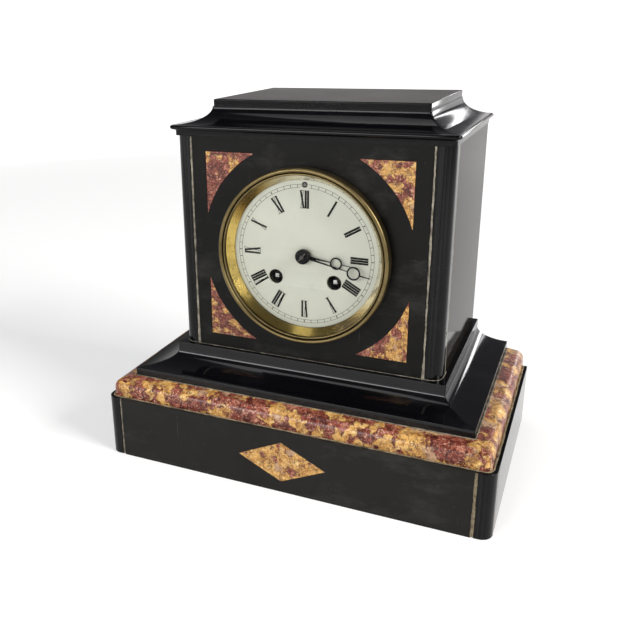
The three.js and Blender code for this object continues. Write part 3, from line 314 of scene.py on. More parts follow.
def slate_wear_and_highlights(s, scratch, scuffs, highlight_streaks):
    """How far the polish is gone: scratches, rubbed patches and specks of dust; and upright stripes of
    painted highlight.
    """
    patch = s.step(s.noise(s.mapped((0.4, 0.1, 0.2), (1, 1, 2.2)), 20, 6, 0.72), 0.53, 0.80)
    speck = s.cells(s.coords, 430)
    rare = s.math("GREATER_THAN", s.split(speck.outputs["Color"])[0], 0.965)
    dust = s.math("MULTIPLY", s.math("LESS_THAN", speck.outputs["Distance"], 0.10), rare)
    wear_and_highlights = s.math("MULTIPLY", scratch, 0.5 * scuffs)
    wear_and_highlights = s.math("MAXIMUM", wear_and_highlights, s.math("MULTIPLY", patch, 0.42 * scuffs))
    wear_and_highlights = s.math("MAXIMUM", wear_and_highlights, s.math("MULTIPLY", dust, scuffs))
    # Upright stripes of painted highlight, lighter and rougher
    if highlight_streaks:
        upright = s.step(s.noise(s.mapped(scale=(620, 620, 5)), 1, 3), 0.50, 0.74)
        wear_and_highlights = s.math("MAXIMUM", wear_and_highlights, s.math("MULTIPLY", upright, highlight_streaks))
    return wear_and_highlights


def slate(name, ground, worn, rough, level, scuffs, highlight_streaks=0.0, dust_and_sheen=0.0):
    """Black slate: a cloudy ground, fine scratches both ways and pale worn places, with upright stripes of
    painted highlight where asked. Dust and sheen lies on the level faces: dust that dulls them, and a pale
    tone that is a painted reflection."""
    s = Surface(name, Specular_IOR_Level=level)
    cloud = s.noise(s.coords, 28, 5)
    base = s.ramp(cloud, [(0.3, ground), (0.72, tuple(c * 1.5 for c in ground))])
    fine = s.noise(s.mapped(scale=(60, 60, 1200), turn=(0, 0.5, 0.4)), 1, 2)
    other = s.noise(s.mapped(scale=(900, 500, 40), turn=(0.3, -0.6, 0.2)), 1, 2)
    scratch = s.math("MAXIMUM", s.step(fine, 0.71, 0.80), s.step(other, 0.72, 0.82))
    wear_and_highlights = slate_wear_and_highlights(s, scratch, scuffs, highlight_streaks)
    haze = s.math("ADD", s.math("MULTIPLY", cloud, 0.10), s.math("MULTIPLY", wear_and_highlights, 0.35))
    # Level faces: rougher with dust, and paler with a painted reflection
    if dust_and_sheen:
        facing = s.node("NewGeometry").outputs["True Normal"]
        upward = s.node("SeparateXYZ", {"Vector": facing}).outputs["Z"]
        dust_and_sheen_share = s.math("MULTIPLY", s.step(upward, LEVEL_FROM, LEVEL_FULL), dust_and_sheen)
        base = s.blend(dust_and_sheen_share, base, DUST_AND_SHEEN_TONE)
        haze = s.math("ADD", haze, dust_and_sheen_share)
    s.link(s.blend(wear_and_highlights, base, worn), "Base Color")
    s.link(s.math("ADD", haze, rough), "Roughness")
    s.bump(s.math("SUBTRACT", s.noise(s.coords, 900, 3), s.math("MULTIPLY", scratch, 0.6)), 0.06)
    return s.material


def marble_ground(s, bent, grain):
    """Mottled maroon with pale specks."""
    ground = s.ramp(s.noise(bent, 620 * grain, 5, 0.7), [
        (0.38, (0.050, 0.006, 0.004)), (0.46, (0.280, 0.044, 0.026)), (0.55, (0.410, 0.115, 0.074)),
        (0.63, (0.720, 0.430, 0.290))])
    speck = s.cells(bent, 640 * grain)
    chosen = s.step(s.split(speck.outputs["Color"])[0], 0.50, 0.54)
    inside = s.inverse(s.step(speck.outputs["Distance"], 0.26, 0.46))
    share = s.math("MULTIPLY", s.math("MULTIPLY", inside, chosen), 0.9)
    return s.blend(share, ground, (0.760, 0.520, 0.340))


def marble_fragments(s, bent, grain, chance):
    """Clouded ochre, with an ashen fragment where the chance is high."""
    ochre = s.ramp(s.noise(bent, 330 * grain, 6, 0.68), [
        (0.37, (0.200, 0.060, 0.018)), (0.43, (0.620, 0.310, 0.072)), (0.55, (0.770, 0.460, 0.140)),
        (0.66, (0.900, 0.680, 0.350))])
    ashen = s.math("GREATER_THAN", chance, 0.90)
    return s.blend(s.math("MULTIPLY", ashen, 0.7), ochre, (0.500, 0.330, 0.240))


def vein_lines(s, stone, distance, thin, wide, patches, keep, colour):
    """Dark lines over the stone where a distance is small, kept only in patches."""
    line = s.inverse(s.step(distance, thin, wide))
    return s.blend(s.math("MULTIPLY", line, s.math("MULTIPLY", patches, keep)), stone, colour)


def marble(name, offset, yellow, grain=1.0, streak=(1, 1, 1)):
    """Brocatelle: ochre and grey-pink fragments in a speckled maroon ground, crossed by fine dark veins."""
    s = Surface(name, Specular_IOR_Level=0.35, Coat_Weight=0.05, Coat_Roughness=0.08)
    plain = s.mapped(offset, streak)
    shake = s.node("TexNoise", {"Vector": plain, "Scale": 260 * grain, "Detail": 5.0, "Roughness": 0.6})
    wobble = s.vector("SUBTRACT", shake.outputs["Color"], (0.5, 0.5, 0.5))
    bent = s.vector("ADD", plain, s.vector("MULTIPLY", wobble, (0.011 / grain,) * 3))
    chip = s.split(s.cells(bent, 140 * grain).outputs["Color"])
    region = s.noise(plain, 38 * grain, 2)
    choice = s.math("ADD", s.math("MULTIPLY", chip[0], 0.8), s.math("MULTIPLY", region, 1.9))
    ochre_share = s.step(choice, 1.47 - yellow, 1.51 - yellow)
    stone = s.blend(ochre_share, marble_ground(s, bent, grain), marble_fragments(s, bent, grain, chip[1]))
    outside = s.inverse(s.math("MULTIPLY", ochre_share, 0.72))
    scribble = s.math("ABSOLUTE", s.math("SUBTRACT", s.noise(bent, 190 * grain, 4, 0.62), 0.5))
    patchy = s.step(s.noise(plain, 110 * grain, 3), 0.40, 0.54)
    stone = vein_lines(s, stone, scribble, 0.014, 0.045, patchy, 0.9, (0.085, 0.014, 0.008))
    web = s.cells(bent, 380 * grain, "DISTANCE_TO_EDGE").outputs["Distance"]
    sparse = s.step(s.noise(plain, 150 * grain, 3), 0.42, 0.54)
    stone = vein_lines(s, stone, web, 0.04, 0.17, sparse, outside, (0.130, 0.022, 0.012))
    seam = s.cells(bent, 140 * grain, "DISTANCE_TO_EDGE").outputs["Distance"]
    broken = s.step(s.noise(plain, 200 * grain, 2), 0.36, 0.54)
    stone = vein_lines(s, stone, seam, 0.05, 0.13, broken, outside, (0.060, 0.009, 0.006))
    s.link(stone, "Base Color")
    s.link(s.step(s.noise(plain, 300, 3), -1.3, 4.2), "Roughness")
    s.bump(s.math("ADD", web, s.noise(plain, 700, 2)), 0.05)
    return s.material


def brass(name, dull, bright, rough, shade_rings=(), painted_reflection=None):
    """Gilt brass with tarnish. Shade rings are painted shade: dark rings about the dial's axis in grooves and
    at inner edges, each a radius, half width and share. The painted reflection is a paler colour on the side
    towards two o'clock, mirroring the dial."""
    s = Surface(name, Metallic=1.0)
    tone = s.noise(s.coords, 60, 6, 0.65)
    colour = s.ramp(tone, [(0.3, dull), (0.68, bright)])
    spots = s.step(s.noise(s.mapped((0.3, 0, 0)), 420, 4), 0.58, 0.72)
    colour = s.blend(s.math("MULTIPLY", spots, 0.45), colour, tuple(c * 0.35 for c in dull))
    # Painted shade: dark rings in the grooves and at the inner edges about the dial's axis
    if shade_rings:
        place = s.vector("SUBTRACT", s.coords, (0, 0, DIAL_Z * MM))
        reach = s.vector("LENGTH", s.vector("MULTIPLY", place, (1, 0, 1)))
        for radius, half, share in shade_rings:
            gap = s.math("ABSOLUTE", s.math("SUBTRACT", reach, radius * MM))
            near = s.inverse(s.step(gap, half * MM * 0.4, half * MM))
            colour = s.blend(s.math("MULTIPLY", near, share), colour, tuple(c * 0.12 for c in dull))
        # Painted reflection: the side towards two o'clock made paler, as if mirroring the dial
        if painted_reflection:
            towards = s.vector("DOT_PRODUCT", place, (0.8, 0, 0.6))
            colour = s.blend(s.step(towards, -0.012, 0.030), colour, painted_reflection)
    s.link(colour, "Base Color")
    brushed = s.noise(s.mapped(scale=(1, 6, 1)), 500, 3)
    haze = s.math("ADD", s.math("MULTIPLY", brushed, 0.08), rough)
    s.link(s.math("ADD", s.math("MULTIPLY", tone, 0.18), haze), "Roughness")
    s.bump(brushed, 0.05)
    return s.material


def steel(name, dark, light, rough, metal=1.0, level=0.5):
    """Steel from a dark to a light tone, with fine brush marks."""
    s = Surface(name, Metallic=metal, Specular_IOR_Level=level)
    tone = s.noise(s.coords, 160, 5)
    s.link(s.ramp(tone, [(0.3, dark), (0.7, light)]), "Base Color")
    s.link(s.math("ADD", s.math("MULTIPLY", tone, 0.15), rough), "Roughness")
    s.bump(s.noise(s.mapped(scale=(1, 8, 1)), 700, 2), 0.05)
    return s.material


def plaster(name, pale, dirt):
    """Old filler in the joints: crumbly, cream to tan, darkened with polish and dust."""
    s = Surface(name, Specular_IOR_Level=0.2)
    tone = s.noise(s.coords, 210, 6, 0.7)
    between = tuple((a + b) / 2 for a, b in zip(pale, dirt))
    s.link(s.ramp(tone, [(0.3, dirt), (0.48, between), (0.64, pale)]), "Base Color")
    s.link(s.step(tone, -1.5, 1.2), "Roughness")
    s.bump(s.noise(s.coords, 900, 4), 0.5, 0.15)
    return s.material


def enamel(name):
    """White fired enamel with the faintest grey clouding, hair cracks and dust."""
    s = Surface(name, Specular_IOR_Level=0.35, Coat_Weight=0.2, Coat_Roughness=0.06)
    cloud = s.noise(s.coords, 22, 5)
    colour = s.ramp(cloud, [(0.3, (0.560, 0.580, 0.490)), (0.7, (0.640, 0.650, 0.550))])
    wander = s.node("TexNoise", {"Vector": s.coords, "Scale": 90.0, "Detail": 3.0}).outputs["Color"]
    bent = s.vector("ADD", s.coords, wander)
    crack = s.cells(bent, 26, "DISTANCE_TO_EDGE").outputs["Distance"]
    hair = s.inverse(s.step(crack, 0.0, 0.006))
    colour = s.blend(s.math("MULTIPLY", hair, 0.16), colour, (0.30, 0.29, 0.25))
    grime = s.step(s.noise(s.mapped((0.2, 0.5, 0.7)), 310, 5), 0.66, 0.80)
    colour = s.blend(s.math("MULTIPLY", grime, 0.25), colour, (0.36, 0.35, 0.29))
    s.link(colour, "Base Color")
    s.link(s.step(cloud, -1.0, 4.0), "Roughness")
    s.bump(cloud, 0.03)
    return s.material


def ink(name):
    """Matt black paint of the numerals."""
    s = Surface(name, Specular_IOR_Level=0.06)
    tone = s.noise(s.coords, 700, 4)
    s.link(s.ramp(tone, [(0.25, (0.002, 0.002, 0.002)), (0.8, (0.010, 0.010, 0.010))]), "Base Color")
    s.link(s.step(tone, -0.6, 2.2), "Roughness")
    return s.material


def glass(name):
    """Thin clear glass with faint smears."""
    s = Surface(name, Alpha=0.03, IOR=1.45, Transmission_Weight=1.0, Base_Color=(0.95, 0.98, 0.96, 1))
    smear = s.noise(s.mapped(scale=(1, 1, 1.6)), 60, 5)
    s.link(s.step(smear, 0.2, 6.0), "Roughness")
    return s.material


# Materials
satin_slate = slate("satin_slate", (0.0062, 0.0060, 0.0056), (0.085, 0.083, 0.080),
                    rough=0.26, level=0.10, scuffs=1.0)
POLISH = dict(ground=(0.0020, 0.0020, 0.0026), worn=(0.060, 0.060, 0.064), rough=0.015, scuffs=0.25)
polished_slate = slate("polished_slate", level=0.31, **POLISH)
# The cap's level faces carry dust and a painted reflection
cap_slate = slate("cap_slate", level=0.15, dust_and_sheen=0.26, **POLISH)
plinth_side_slate = slate("plinth_side_slate", level=0.075, **POLISH)
# The body sides: the brownish ground is a painted reflection of warm surroundings, with faint painted
# highlight stripes
side_slate = slate("side_slate", (0.0100, 0.0076, 0.0060), (0.060, 0.054, 0.048),
                   rough=0.03, level=0.02, scuffs=0.5, highlight_streaks=0.05)
plinth_slate = slate("plinth_slate", (0.0125, 0.0122, 0.0115), (0.085, 0.083, 0.080),
                     rough=0.28, level=0.10, scuffs=0.9)
post_slate = slate("post_slate", (0.0022, 0.0022, 0.0024), (0.060, 0.060, 0.058),
                   # The posts carry upright painted highlight stripes
                   rough=0.05, level=0.16, scuffs=0.4, highlight_streaks=0.35)
# Bezel brass with tarnish, and painted shade in its grooves
aged_brass = brass("aged_brass", (0.108, 0.081, 0.034), (0.205, 0.156, 0.072), rough=0.26,
                   shade_rings=[(51.55, 0.45, 0.85), (50.05, 0.25, 0.7)])
# Sight ring gilt, with painted shade at its inner edge and a painted reflection of the dial towards two
# o'clock
bright_gilt = brass("bright_gilt", (0.400, 0.285, 0.070), (0.580, 0.435, 0.130), rough=0.05,
                    shade_rings=[(46.3, 0.25, 0.5)], painted_reflection=(0.880, 0.830, 0.680))
# Front plate brass, darkened so the winding holes read black: painted shade
shaded_plate_brass = brass("shaded_plate_brass", (0.040, 0.026, 0.012), (0.075, 0.050, 0.024), rough=0.30)
movement_brass = brass("movement_brass", (0.400, 0.260, 0.080), (0.620, 0.440, 0.160), rough=0.18)
bell_metal = brass("bell_metal", (0.430, 0.320, 0.140), (0.620, 0.500, 0.260), rough=0.10)
white_enamel = enamel("white_enamel")
black_ink = ink("black_ink")
black_steel = steel("black_steel", (0.003, 0.003, 0.003), (0.010, 0.010, 0.011),
                    rough=0.26, metal=0.3, level=0.12)
dark_steel = steel("dark_steel", (0.050, 0.046, 0.042), (0.150, 0.138, 0.128), rough=0.26)
bright_steel = steel("bright_steel", (0.300, 0.290, 0.270), (0.560, 0.550, 0.530), rough=0.18)
clear_glass = glass("clear_glass")
joint_plaster = plaster("joint_plaster", (0.370, 0.300, 0.190), (0.045, 0.034, 0.021))
worn_plaster = plaster("worn_plaster", (0.420, 0.385, 0.300), (0.035, 0.032, 0.027))
grey_plaster = plaster("grey_plaster", (0.310, 0.275, 0.205), (0.030, 0.026, 0.020))


# Corner posts, marble band and base moulding
def rounded_post(inner, outer, front):
    corner = arc(outer - CORNER, front + CORNER, CORNER, -FULL / 4, 0, 20)
    inside = [(inner, front + SLAB), (inner, front + BEVEL), (inner + BEVEL, front)]
    return inside + corner + [(outer, front + SLAB)]


def posts(stem, inner, outer, front, low, high, edge):
    for side, label in ((1, "right"), (-1, "left")):
        outline = [(side * x, y) for x, y in rounded_post(inner, outer, front)]
        post = add_object(f"{stem}_{label}_post", *prism(outline, low, high))
        ease_edges(post, edge)
        dress(post, post_slate, replaced=(f"{stem}_{label}",))


posts("plinth_corner", POST_INNER, HALF, FRONT, 0.0, PLINTH_TOP, edge=0.9)
posts("body_corner", COLUMN_INNER, BODY_HALF, BODY_FRONT, MOULDING_TOP, BODY_TOP, edge=0.2)

LEDGE, NOSE, NOSE_DROP, BAND_BACK = 3.3, 6.0, 0.8, 34.0
LIP, LIP_STEP, LIP_HEIGHT, MOULDING_BACK = 15.0, 0.8, 5.0, 56.0
HOLLOW_REACH, HOLLOW_DROP = 20.5, 8.5
band = [(BAND_BACK, PLINTH_TOP), (BAND_BACK, BAND_TOP), (LIP, BAND_TOP)]
band += arc(LEDGE + NOSE, BAND_TOP - NOSE_DROP - NOSE, NOSE, FULL / 4, FULL / 2, 18) + [(LEDGE, PLINTH_TOP)]
hollow_inset, lip_top = LIP + LIP_STEP, BAND_TOP + LIP_HEIGHT
moulding = [(MOULDING_BACK, BAND_TOP), (MOULDING_BACK, MOULDING_TOP)]
moulding += [(hollow_inset + HOLLOW_REACH, MOULDING_TOP)]
moulding += ellipse(hollow_inset, lip_top + HOLLOW_DROP, HOLLOW_REACH, -HOLLOW_DROP, 0, FULL / 4, 32)
moulding += [(LIP, lip_top), (LIP, BAND_TOP)]
runs = (("front", front_run, (0.013, 0.002, 0.021), 0.12),
        ("left", lambda section, radius: side_run(section, -1, radius), (0.31, 0.2, 0.1), 0.12),
        ("right", lambda section, radius: side_run(section, 1, radius), (0.42, 0.27, 0.33), 0.08))
for label, carry, offset, yellow in runs:
    rail = add_object(f"marble_band_{label}_rail", *carry(band, CORNER))
    ease_edges(rail, width=0.25)
    stone = marble(f"band_marble_{label}", offset, yellow)
    dress(rail, stone, replaced=(f"marble_band_{label}",))
    hollow = add_object(f"base_moulding_{label}_hollow", *carry(moulding, 0.0), smooth=30)
    ease_edges(hollow, width=0.3, segments=3)
    face = satin_slate if label == "left" else polished_slate
    dress(hollow, face, replaced=(f"base_moulding_{label}",))

# Cornice and cap
TIP, NECK, TIP_LOW = 37.0, 39.6, 214.7
QUIRK, TIP_ROUND, TIP_EDGE, TIP_EASE, CORNICE_CORNER = 1.4, 1.2, 0.7, 0.2, 3.0
quirk = arc(NECK - QUIRK, TIP_LOW - QUIRK, QUIRK, 0, FULL / 4, 6)
tip = arc(TIP + TIP_ROUND, TIP_LOW + TIP_ROUND, TIP_ROUND, -FULL / 4, -FULL / 2, 8)
tip += [(TIP, CORNICE_TOP - TIP_EDGE), (TIP + TIP_EASE, CORNICE_TOP - TIP_EASE)]
tip += [(TIP + TIP_EDGE, CORNICE_TOP)]
cornice_levels = [(NECK, BODY_TOP)] + quirk + tip
cornice = add_object("cornice_roll", *moulded_slab(cornice_levels, CORNICE_CORNER), smooth=30)
dress(cornice, cap_slate, replaced=("cornice_slab",))
CAP_FOOT, CAP_INSET, CAP_EDGE, CAP_FLAT, CAP_CORNER = 38.0, 58.0, 0.6, 60.0, 1.2
COVE_REACH, COVE_DROP = 19.4, 9.9
cap_levels = [(CAP_FOOT, CORNICE_TOP)] + ellipse(CAP_FOOT, COVE_TOP, COVE_REACH, -COVE_DROP, FULL / 4, 0, 40)
cap_levels += [(CAP_INSET, COVE_TOP)]
cap_levels += arc(CAP_INSET + CAP_EDGE, CAP_TOP - CAP_EDGE, CAP_EDGE, FULL / 2, FULL / 4, 4)
cap_levels += [(CAP_FLAT, CAP_TOP)]
cap = add_object("cap_hollow", *moulded_slab(cap_levels, CAP_CORNER), smooth=30)
ease_edges(cap, width=0.25, segments=3)
dress(cap, cap_slate, replaced=("cap_block",))

# Flat stone that the frame already has in full
paint_nodes(satin_slate, "body_front_panel", "plinth_back_panel", "body_back_panel")
paint_nodes(plinth_slate, "plinth_front_panel")
paint_nodes(plinth_side_slate, "plinth_right_panel", "plinth_left_panel")
paint_nodes(side_slate, "body_right_panel", "body_left_panel")

# Each inlay's place in the stone, share of yellow, fineness and stretch
inlays = {
    "plinth_diamond_inlay": ((0.05, 0.3, 0.02), 0.52, 1.3, (1, 1, 1)),
    "spandrel_top_left": ((0.21, 0.1, 0.32), -0.10, 1.7, (1, 1, 1)),
    "spandrel_top_right": ((0.37, 0.2, 0.11), 0.16, 1.6, (1, 1, 1)),
    "spandrel_bottom_left": ((0.53, 0.4, 0.24), 0.12, 1.5, (1, 1, 1.5)),
    "spandrel_bottom_right": ((0.69, 0.1, 0.45), 0.16, 1.5, (1.3, 1, 1)),
}
for name, settings in inlays.items():
    paint_nodes(marble(name + "_marble", *settings), name)

# Filler in the joints of the stone
FILLER_STEP, FILLER_DRIFT, FILLER_HOLD, FILLER_SWAY, FILLER_RISE = 1.6, 0.16, 0.72, 0.10, 0.05
SWELL_FADE = 9
FILLER_PROFILE = ((-1, -0.55), (-0.9, 0.0), (-0.35, 0.14), (0.4, 0.12), (0.92, -0.02), (1, -0.55))


def filler(name, path, out, width, sink, seed, material=joint_plaster, swell=0.0):
    """An uneven strip of filler along a path, wider where it has swelled at its start."""
    dice = random.Random(seed)
    out = Vector(out)
    points = [Vector(p) for p in path]
    legs = [(b - a).length for a, b in zip(points, points[1:])]
    count = max(8, int(sum(legs) / FILLER_STEP))
    drift, rings = 0.0, []
    for i in range(count + 1):
        share = i / count
        travel, leg = sum(legs) * share, 0
        while leg < len(legs) - 1 and travel > legs[leg]:
            travel -= legs[leg]
            leg += 1
        along = (points[leg + 1] - points[leg]) / legs[leg]
        across = along.cross(out)
        drift = FILLER_HOLD * drift + dice.uniform(-FILLER_DRIFT, FILLER_DRIFT)
        half = width / 2 * (1 + drift + swell * max(0.0, 1 - share * SWELL_FADE))
        middle = points[leg] + along * travel + across * FILLER_SWAY * width * dice.uniform(-1, 1)
        rise = dice.uniform(-FILLER_RISE, FILLER_RISE) - sink
        rings.append([tuple(middle + across * half * a + out * (rise + b)) for a, b in FILLER_PROFILE])
    dress(add_object(name, *skin(rings), smooth=60), material)


def upright_path(x, y, low, high):
    return [(x, y, low), (x, y, high)]


def round_three_sides(half, front, rear, radius, z):
    """A path along the left side, the front and the right side, with rounded front corners."""
    right = arc(half - radius, front + radius, radius, -FULL / 4, 0, 8) if radius else [(half, front)]
    loop = [(-half, rear)] + [(-x, y) for x, y in reversed(right)] + right + [(half, rear)]
    return [(x, y, z) for x, y in loop]


UP, AHEAD = (0, 0, 1), (0, -1, 0)
BAND_FOOT, BODY_FOOT, BODY_FOOT_DEPTH, MOULDING_FOOT, FOOT_END = 2.6, 0.1, 16, 14.6, 0.5
BODY_JOINT_END, PLINTH_JOINT_LOW, PLINTH_JOINT_END = 0.3, 0.6, 0.4
side_joint = SLAB + JOINT / 2
body_span = (MOULDING_TOP + BODY_JOINT_END, BODY_TOP - BODY_JOINT_END)
plinth_span = (PLINTH_JOINT_LOW, PLINTH_TOP - PLINTH_JOINT_END)
for side, label in ((1, "right"), (-1, "left")):
    outward = (side, 0, 0)
    front_plaster = joint_plaster if side > 0 else grey_plaster
    body_front = upright_path(side * (COLUMN_INNER - JOINT / 2), BODY_FRONT, *body_span)
    plinth_front = upright_path(side * (POST_INNER - JOINT / 2), FRONT, *plinth_span)
    body_side = upright_path(side * BODY_HALF, BODY_FRONT + side_joint, *body_span)
    plinth_side = upright_path(side * HALF, FRONT + side_joint, *plinth_span)
    filler(f"body_joint_{label}", body_front, AHEAD, width=1.2, sink=0.1, seed=11 + side,
           material=worn_plaster, swell=0.9)
    filler(f"plinth_joint_{label}", plinth_front, AHEAD, width=1.4 + 0.4 * side, sink=0.12, seed=21 + side,
           material=front_plaster)
    filler(f"body_side_joint_{label}", body_side, outward, width=0.75, sink=0.08, seed=31 + side,
           material=worn_plaster, swell=1.6)
    filler(f"plinth_side_joint_{label}", plinth_side, outward, width=0.75, sink=0.1, seed=41 + side)
foot = round_three_sides(HALF - BAND_FOOT, FRONT + BAND_FOOT, BACK - FOOT_END, CORNER - BAND_FOOT, PLINTH_TOP)
filler("band_foot", foot, UP, width=1.4, sink=-0.14, seed=81)
foot = round_three_sides(BODY_HALF + BODY_FOOT, BODY_FRONT - BODY_FOOT, BODY_FRONT + BODY_FOOT_DEPTH, CORNER,
                         MOULDING_TOP)
filler("body_foot", foot, UP, width=0.5, sink=0.0, seed=82, material=worn_plaster)
foot = round_three_sides(HALF - MOULDING_FOOT, FRONT + MOULDING_FOOT, BACK - FOOT_END, 0, BAND_TOP)
filler("moulding_foot", foot, UP, width=1.1, sink=-0.08, seed=83, material=grey_plaster)

# Dial with its holes and painted marks
WIND_X, WIND_Z, WIND_HOLE = 19.0, -15.5, 4.6
REGULATOR, REGULATOR_HOLE = 43.2, 1.8
DIAL, DIAL_BORE, DIAL_THICK, DIAL_EDGE = 48.3, 3.6, 1.3, 0.3
dial_outlines = [circle(DIAL, 180), circle(DIAL_BORE, 40), circle(REGULATOR_HOLE, 32, 0, REGULATOR)]
dial_outlines += [circle(WIND_HOLE, 56, x, WIND_Z) for x in (WIND_X, -WIND_X)]
dial = plate("enamel_dial", dial_outlines, 0.0, DIAL_THICK, DIAL_EDGE)
dress(dial, white_enamel, replaced=("dial",))

marks = []
INK_RISE, INK_DEPTH = 0.04, 0.02


def on_dial(u, v, hour):
    """A point of a mark drawn upright at twelve, u to the right and v outward, carried round to an hour."""
    a = hour / 12 * FULL
    return (u * math.cos(a) + v * math.sin(a), v * math.cos(a) - u * math.sin(a))


def stroke(hour, foot, head, inner, outer, width):
    """A painted bar, from its foot at the inner radius to its head at the outer one."""
    half = width / 2
    corners = ((foot - half, inner), (foot + half, inner), (head + half, outer), (head - half, outer))
    marks.append([on_dial(u, v, hour) for u, v in corners])


NUMERAL_INNER, NUMERAL_OUTER, THICK, HAIR = 29.2, 39.8, 1.28, 0.27
ADVANCE = {"I": 1.5, "V": 2.7, "X": 2.9}
# The strokes of each letter: places of foot and head from its middle, and weight
STROKES = {
    "I": ((0, 0, THICK),),
    "V": ((0, -0.85, THICK), (0, 0.85, HAIR)),
    "X": ((0.9, -0.9, THICK), (-0.9, 0.9, HAIR)),
}
numerals = ("I", "II", "III", "IIII", "V", "VI", "VII", "VIII", "IX", "X", "XI", "XII")
for hour, word in enumerate(numerals, 1):
    width = sum(ADVANCE[letter] for letter in word)
    pen = -width / 2
    for letter in word:
        middle = pen + ADVANCE[letter] / 2
        pen += ADVANCE[letter]
        for foot, head, weight in STROKES[letter]:
            stroke(hour, middle + foot, middle + head, NUMERAL_INNER, NUMERAL_OUTER, weight)
    for end in (NUMERAL_INNER, NUMERAL_OUTER):
        stroke(hour, 0, 0, end - HAIR / 2, end + HAIR / 2, width)

TRACK_INNER, TRACK_OUTER, TRACK_LINE, TICK, DOT = 41.6, 43.5, 0.2, 0.3, 0.42
TRACK_STEPS, TRACK_GAP = 360, 0.4
track_middle = (TRACK_INNER + TRACK_OUTER) / 2
for minute in range(1, 60):
    hour = minute / 5
    stroke(hour, 0, 0, TRACK_INNER, TRACK_OUTER, TICK)
    if minute % 5 == 0:
        marks.append([on_dial(u, v, hour) for u, v in circle(DOT, 14, 0, track_middle)])
for radius in (TRACK_INNER, TRACK_OUTER):
    inner, outer = radius - TRACK_LINE / 2, radius + TRACK_LINE / 2
    for i in range(TRACK_STEPS):
        start, end = 12 * i / TRACK_STEPS, 12 * (i + 1) / TRACK_STEPS
        if min(start, 12 - end) / 12 * FULL * radius < REGULATOR_HOLE + TRACK_GAP:
            continue
        marks.append([on_dial(0, inner, start), on_dial(0, outer, start),
                      on_dial(0, outer, end), on_dial(0, inner, end)])

verts, faces = [], []
ink_levels = (BODY_FRONT - INK_RISE, BODY_FRONT + INK_DEPTH)
for outline in marks:
    more, sides = skin([[(x, y, DIAL_Z + z) for x, z in outline] for y in ink_levels])
    faces += [tuple(v + len(verts) for v in side) for side in sides]
    verts += more
dial_marks = add_object("dial_numerals_and_track", verts, faces, smooth=20)
dress(dial_marks, black_ink)

# Bezel, glass and sight ring
bead = arc(53.0, -7.7, 1.3, 0, -FULL / 2, 18)
lip_bead = arc(50.7, -7.4, 0.7, 0, -FULL / 2, 12)
bezel_section = [(51.8, -2.1), (53.8, -2.1), (54.2, -2.25), (54.3, -2.6)] + bead + [(51.55, -7.1)] + lip_bead
bezel_section += [(50.0, -6.9), (51.8, -6.9)]
HINGE_X, HINGE_Y, HINGE_HALF = -53.7, BODY_FRONT - 2.7, 9.2
KNUCKLE, KNUCKLE_HALF, POCKET_GAP, PIN_BORE = 1.5, 4.0, 0.3, 0.9


def hinge_drum(name, radius, low, high):
    ring = circle(radius, 28, HINGE_X, HINGE_Y)
    return add_object(name, *prism(ring, DIAL_Z + low, DIAL_Z + high))


def cut(piece, tool, kind="DIFFERENCE"):
    """Cuts a tool out of a piece, or joins it on, and removes the tool."""
    change = piece.modifiers.new("cut", "BOOLEAN")
    change.operation = kind
    change.solver = "EXACT"
    change.object = tool
    depsgraph = bpy.context.evaluated_depsgraph_get()
    mesh = bpy.data.meshes.new_from_object(piece.evaluated_get(depsgraph))
    piece.modifiers.clear()
    piece.data = mesh
    bpy.data.objects.remove(tool)
    mesh.shade_smooth()
    mesh.set_sharp_from_angle(angle=math.radians(40))


bezel = lathe("bezel_ring", bezel_section, sides=200)
for low, high in ((KNUCKLE_HALF, HINGE_HALF), (-HINGE_HALF, -KNUCKLE_HALF)):
    cut(bezel, hinge_drum("pocket", KNUCKLE + POCKET_GAP, low, high))
cut(bezel, hinge_drum("knuckle", KNUCKLE, -KNUCKLE_HALF, KNUCKLE_HALF), "UNION")
cut(bezel, hinge_drum("bore", PIN_BORE, -HINGE_HALF, HINGE_HALF))
dress(bezel, aged_brass, "bezel_door", ("bezel",))

pane_section = [(0.0, -6.6), (51.2, -6.6), (51.5, -6.3), (51.5, -5.7), (51.2, -5.4), (0.0, -5.4)]
pane = lathe("bezel_pane", pane_section, sides=128, smooth=20)
dress(pane, clear_glass, "bezel_door", ("bezel_glass",))

sight_section = [(50.5, -5.1), (51.5, -5.1), (51.5, -4.55), (51.05, -4.55), (46.75, -0.4), (46.3, -0.4),
                 (46.2, -0.55)]
sight_ring = lathe("sight_ring_gilt", sight_section, sides=200, smooth=30)
dress(sight_ring, bright_gilt, "bezel_door", ("sight_ring",))

# Hands
HAND_THICK, HAND_EDGE = 0.8, 0.16


def hand_outline(hub, base, place, ring, tip, point, turn):
    """The rim of a hand: round the hub, up one side of the bar and ring to the point, and down the other.
    Base is half the bar's width at the hub, and the bar tapers to a quarter of it at the ring."""
    bottom = math.asin(base / 4 / ring)
    start = math.acos(base / hub)
    outline = arc(0, 0, hub, start, -FULL / 2 - start, 40)
    left = arc(0, place, ring, -FULL / 4 - bottom, bottom - FULL * 3 / 4, 30)
    outline += left + [(-point, tip), (point, tip)] + [(-x, z) for x, z in reversed(left)]
    return [on_dial(u, v, turn) for u, v in outline]


def moon_hand(name, hub, bore, base, place, ring, inner, tip, point, angle, front):
    """A hand with a ring near its end, at an angle from twelve in degrees."""
    turn = angle / 360 * 12
    outlines = [hand_outline(hub, base, place, ring, tip, point, turn)]
    outlines += [circle(inner, 40, *on_dial(0, place, turn)), circle(bore, 32)]
    return plate(name, outlines, front, front + HAND_THICK, HAND_EDGE)


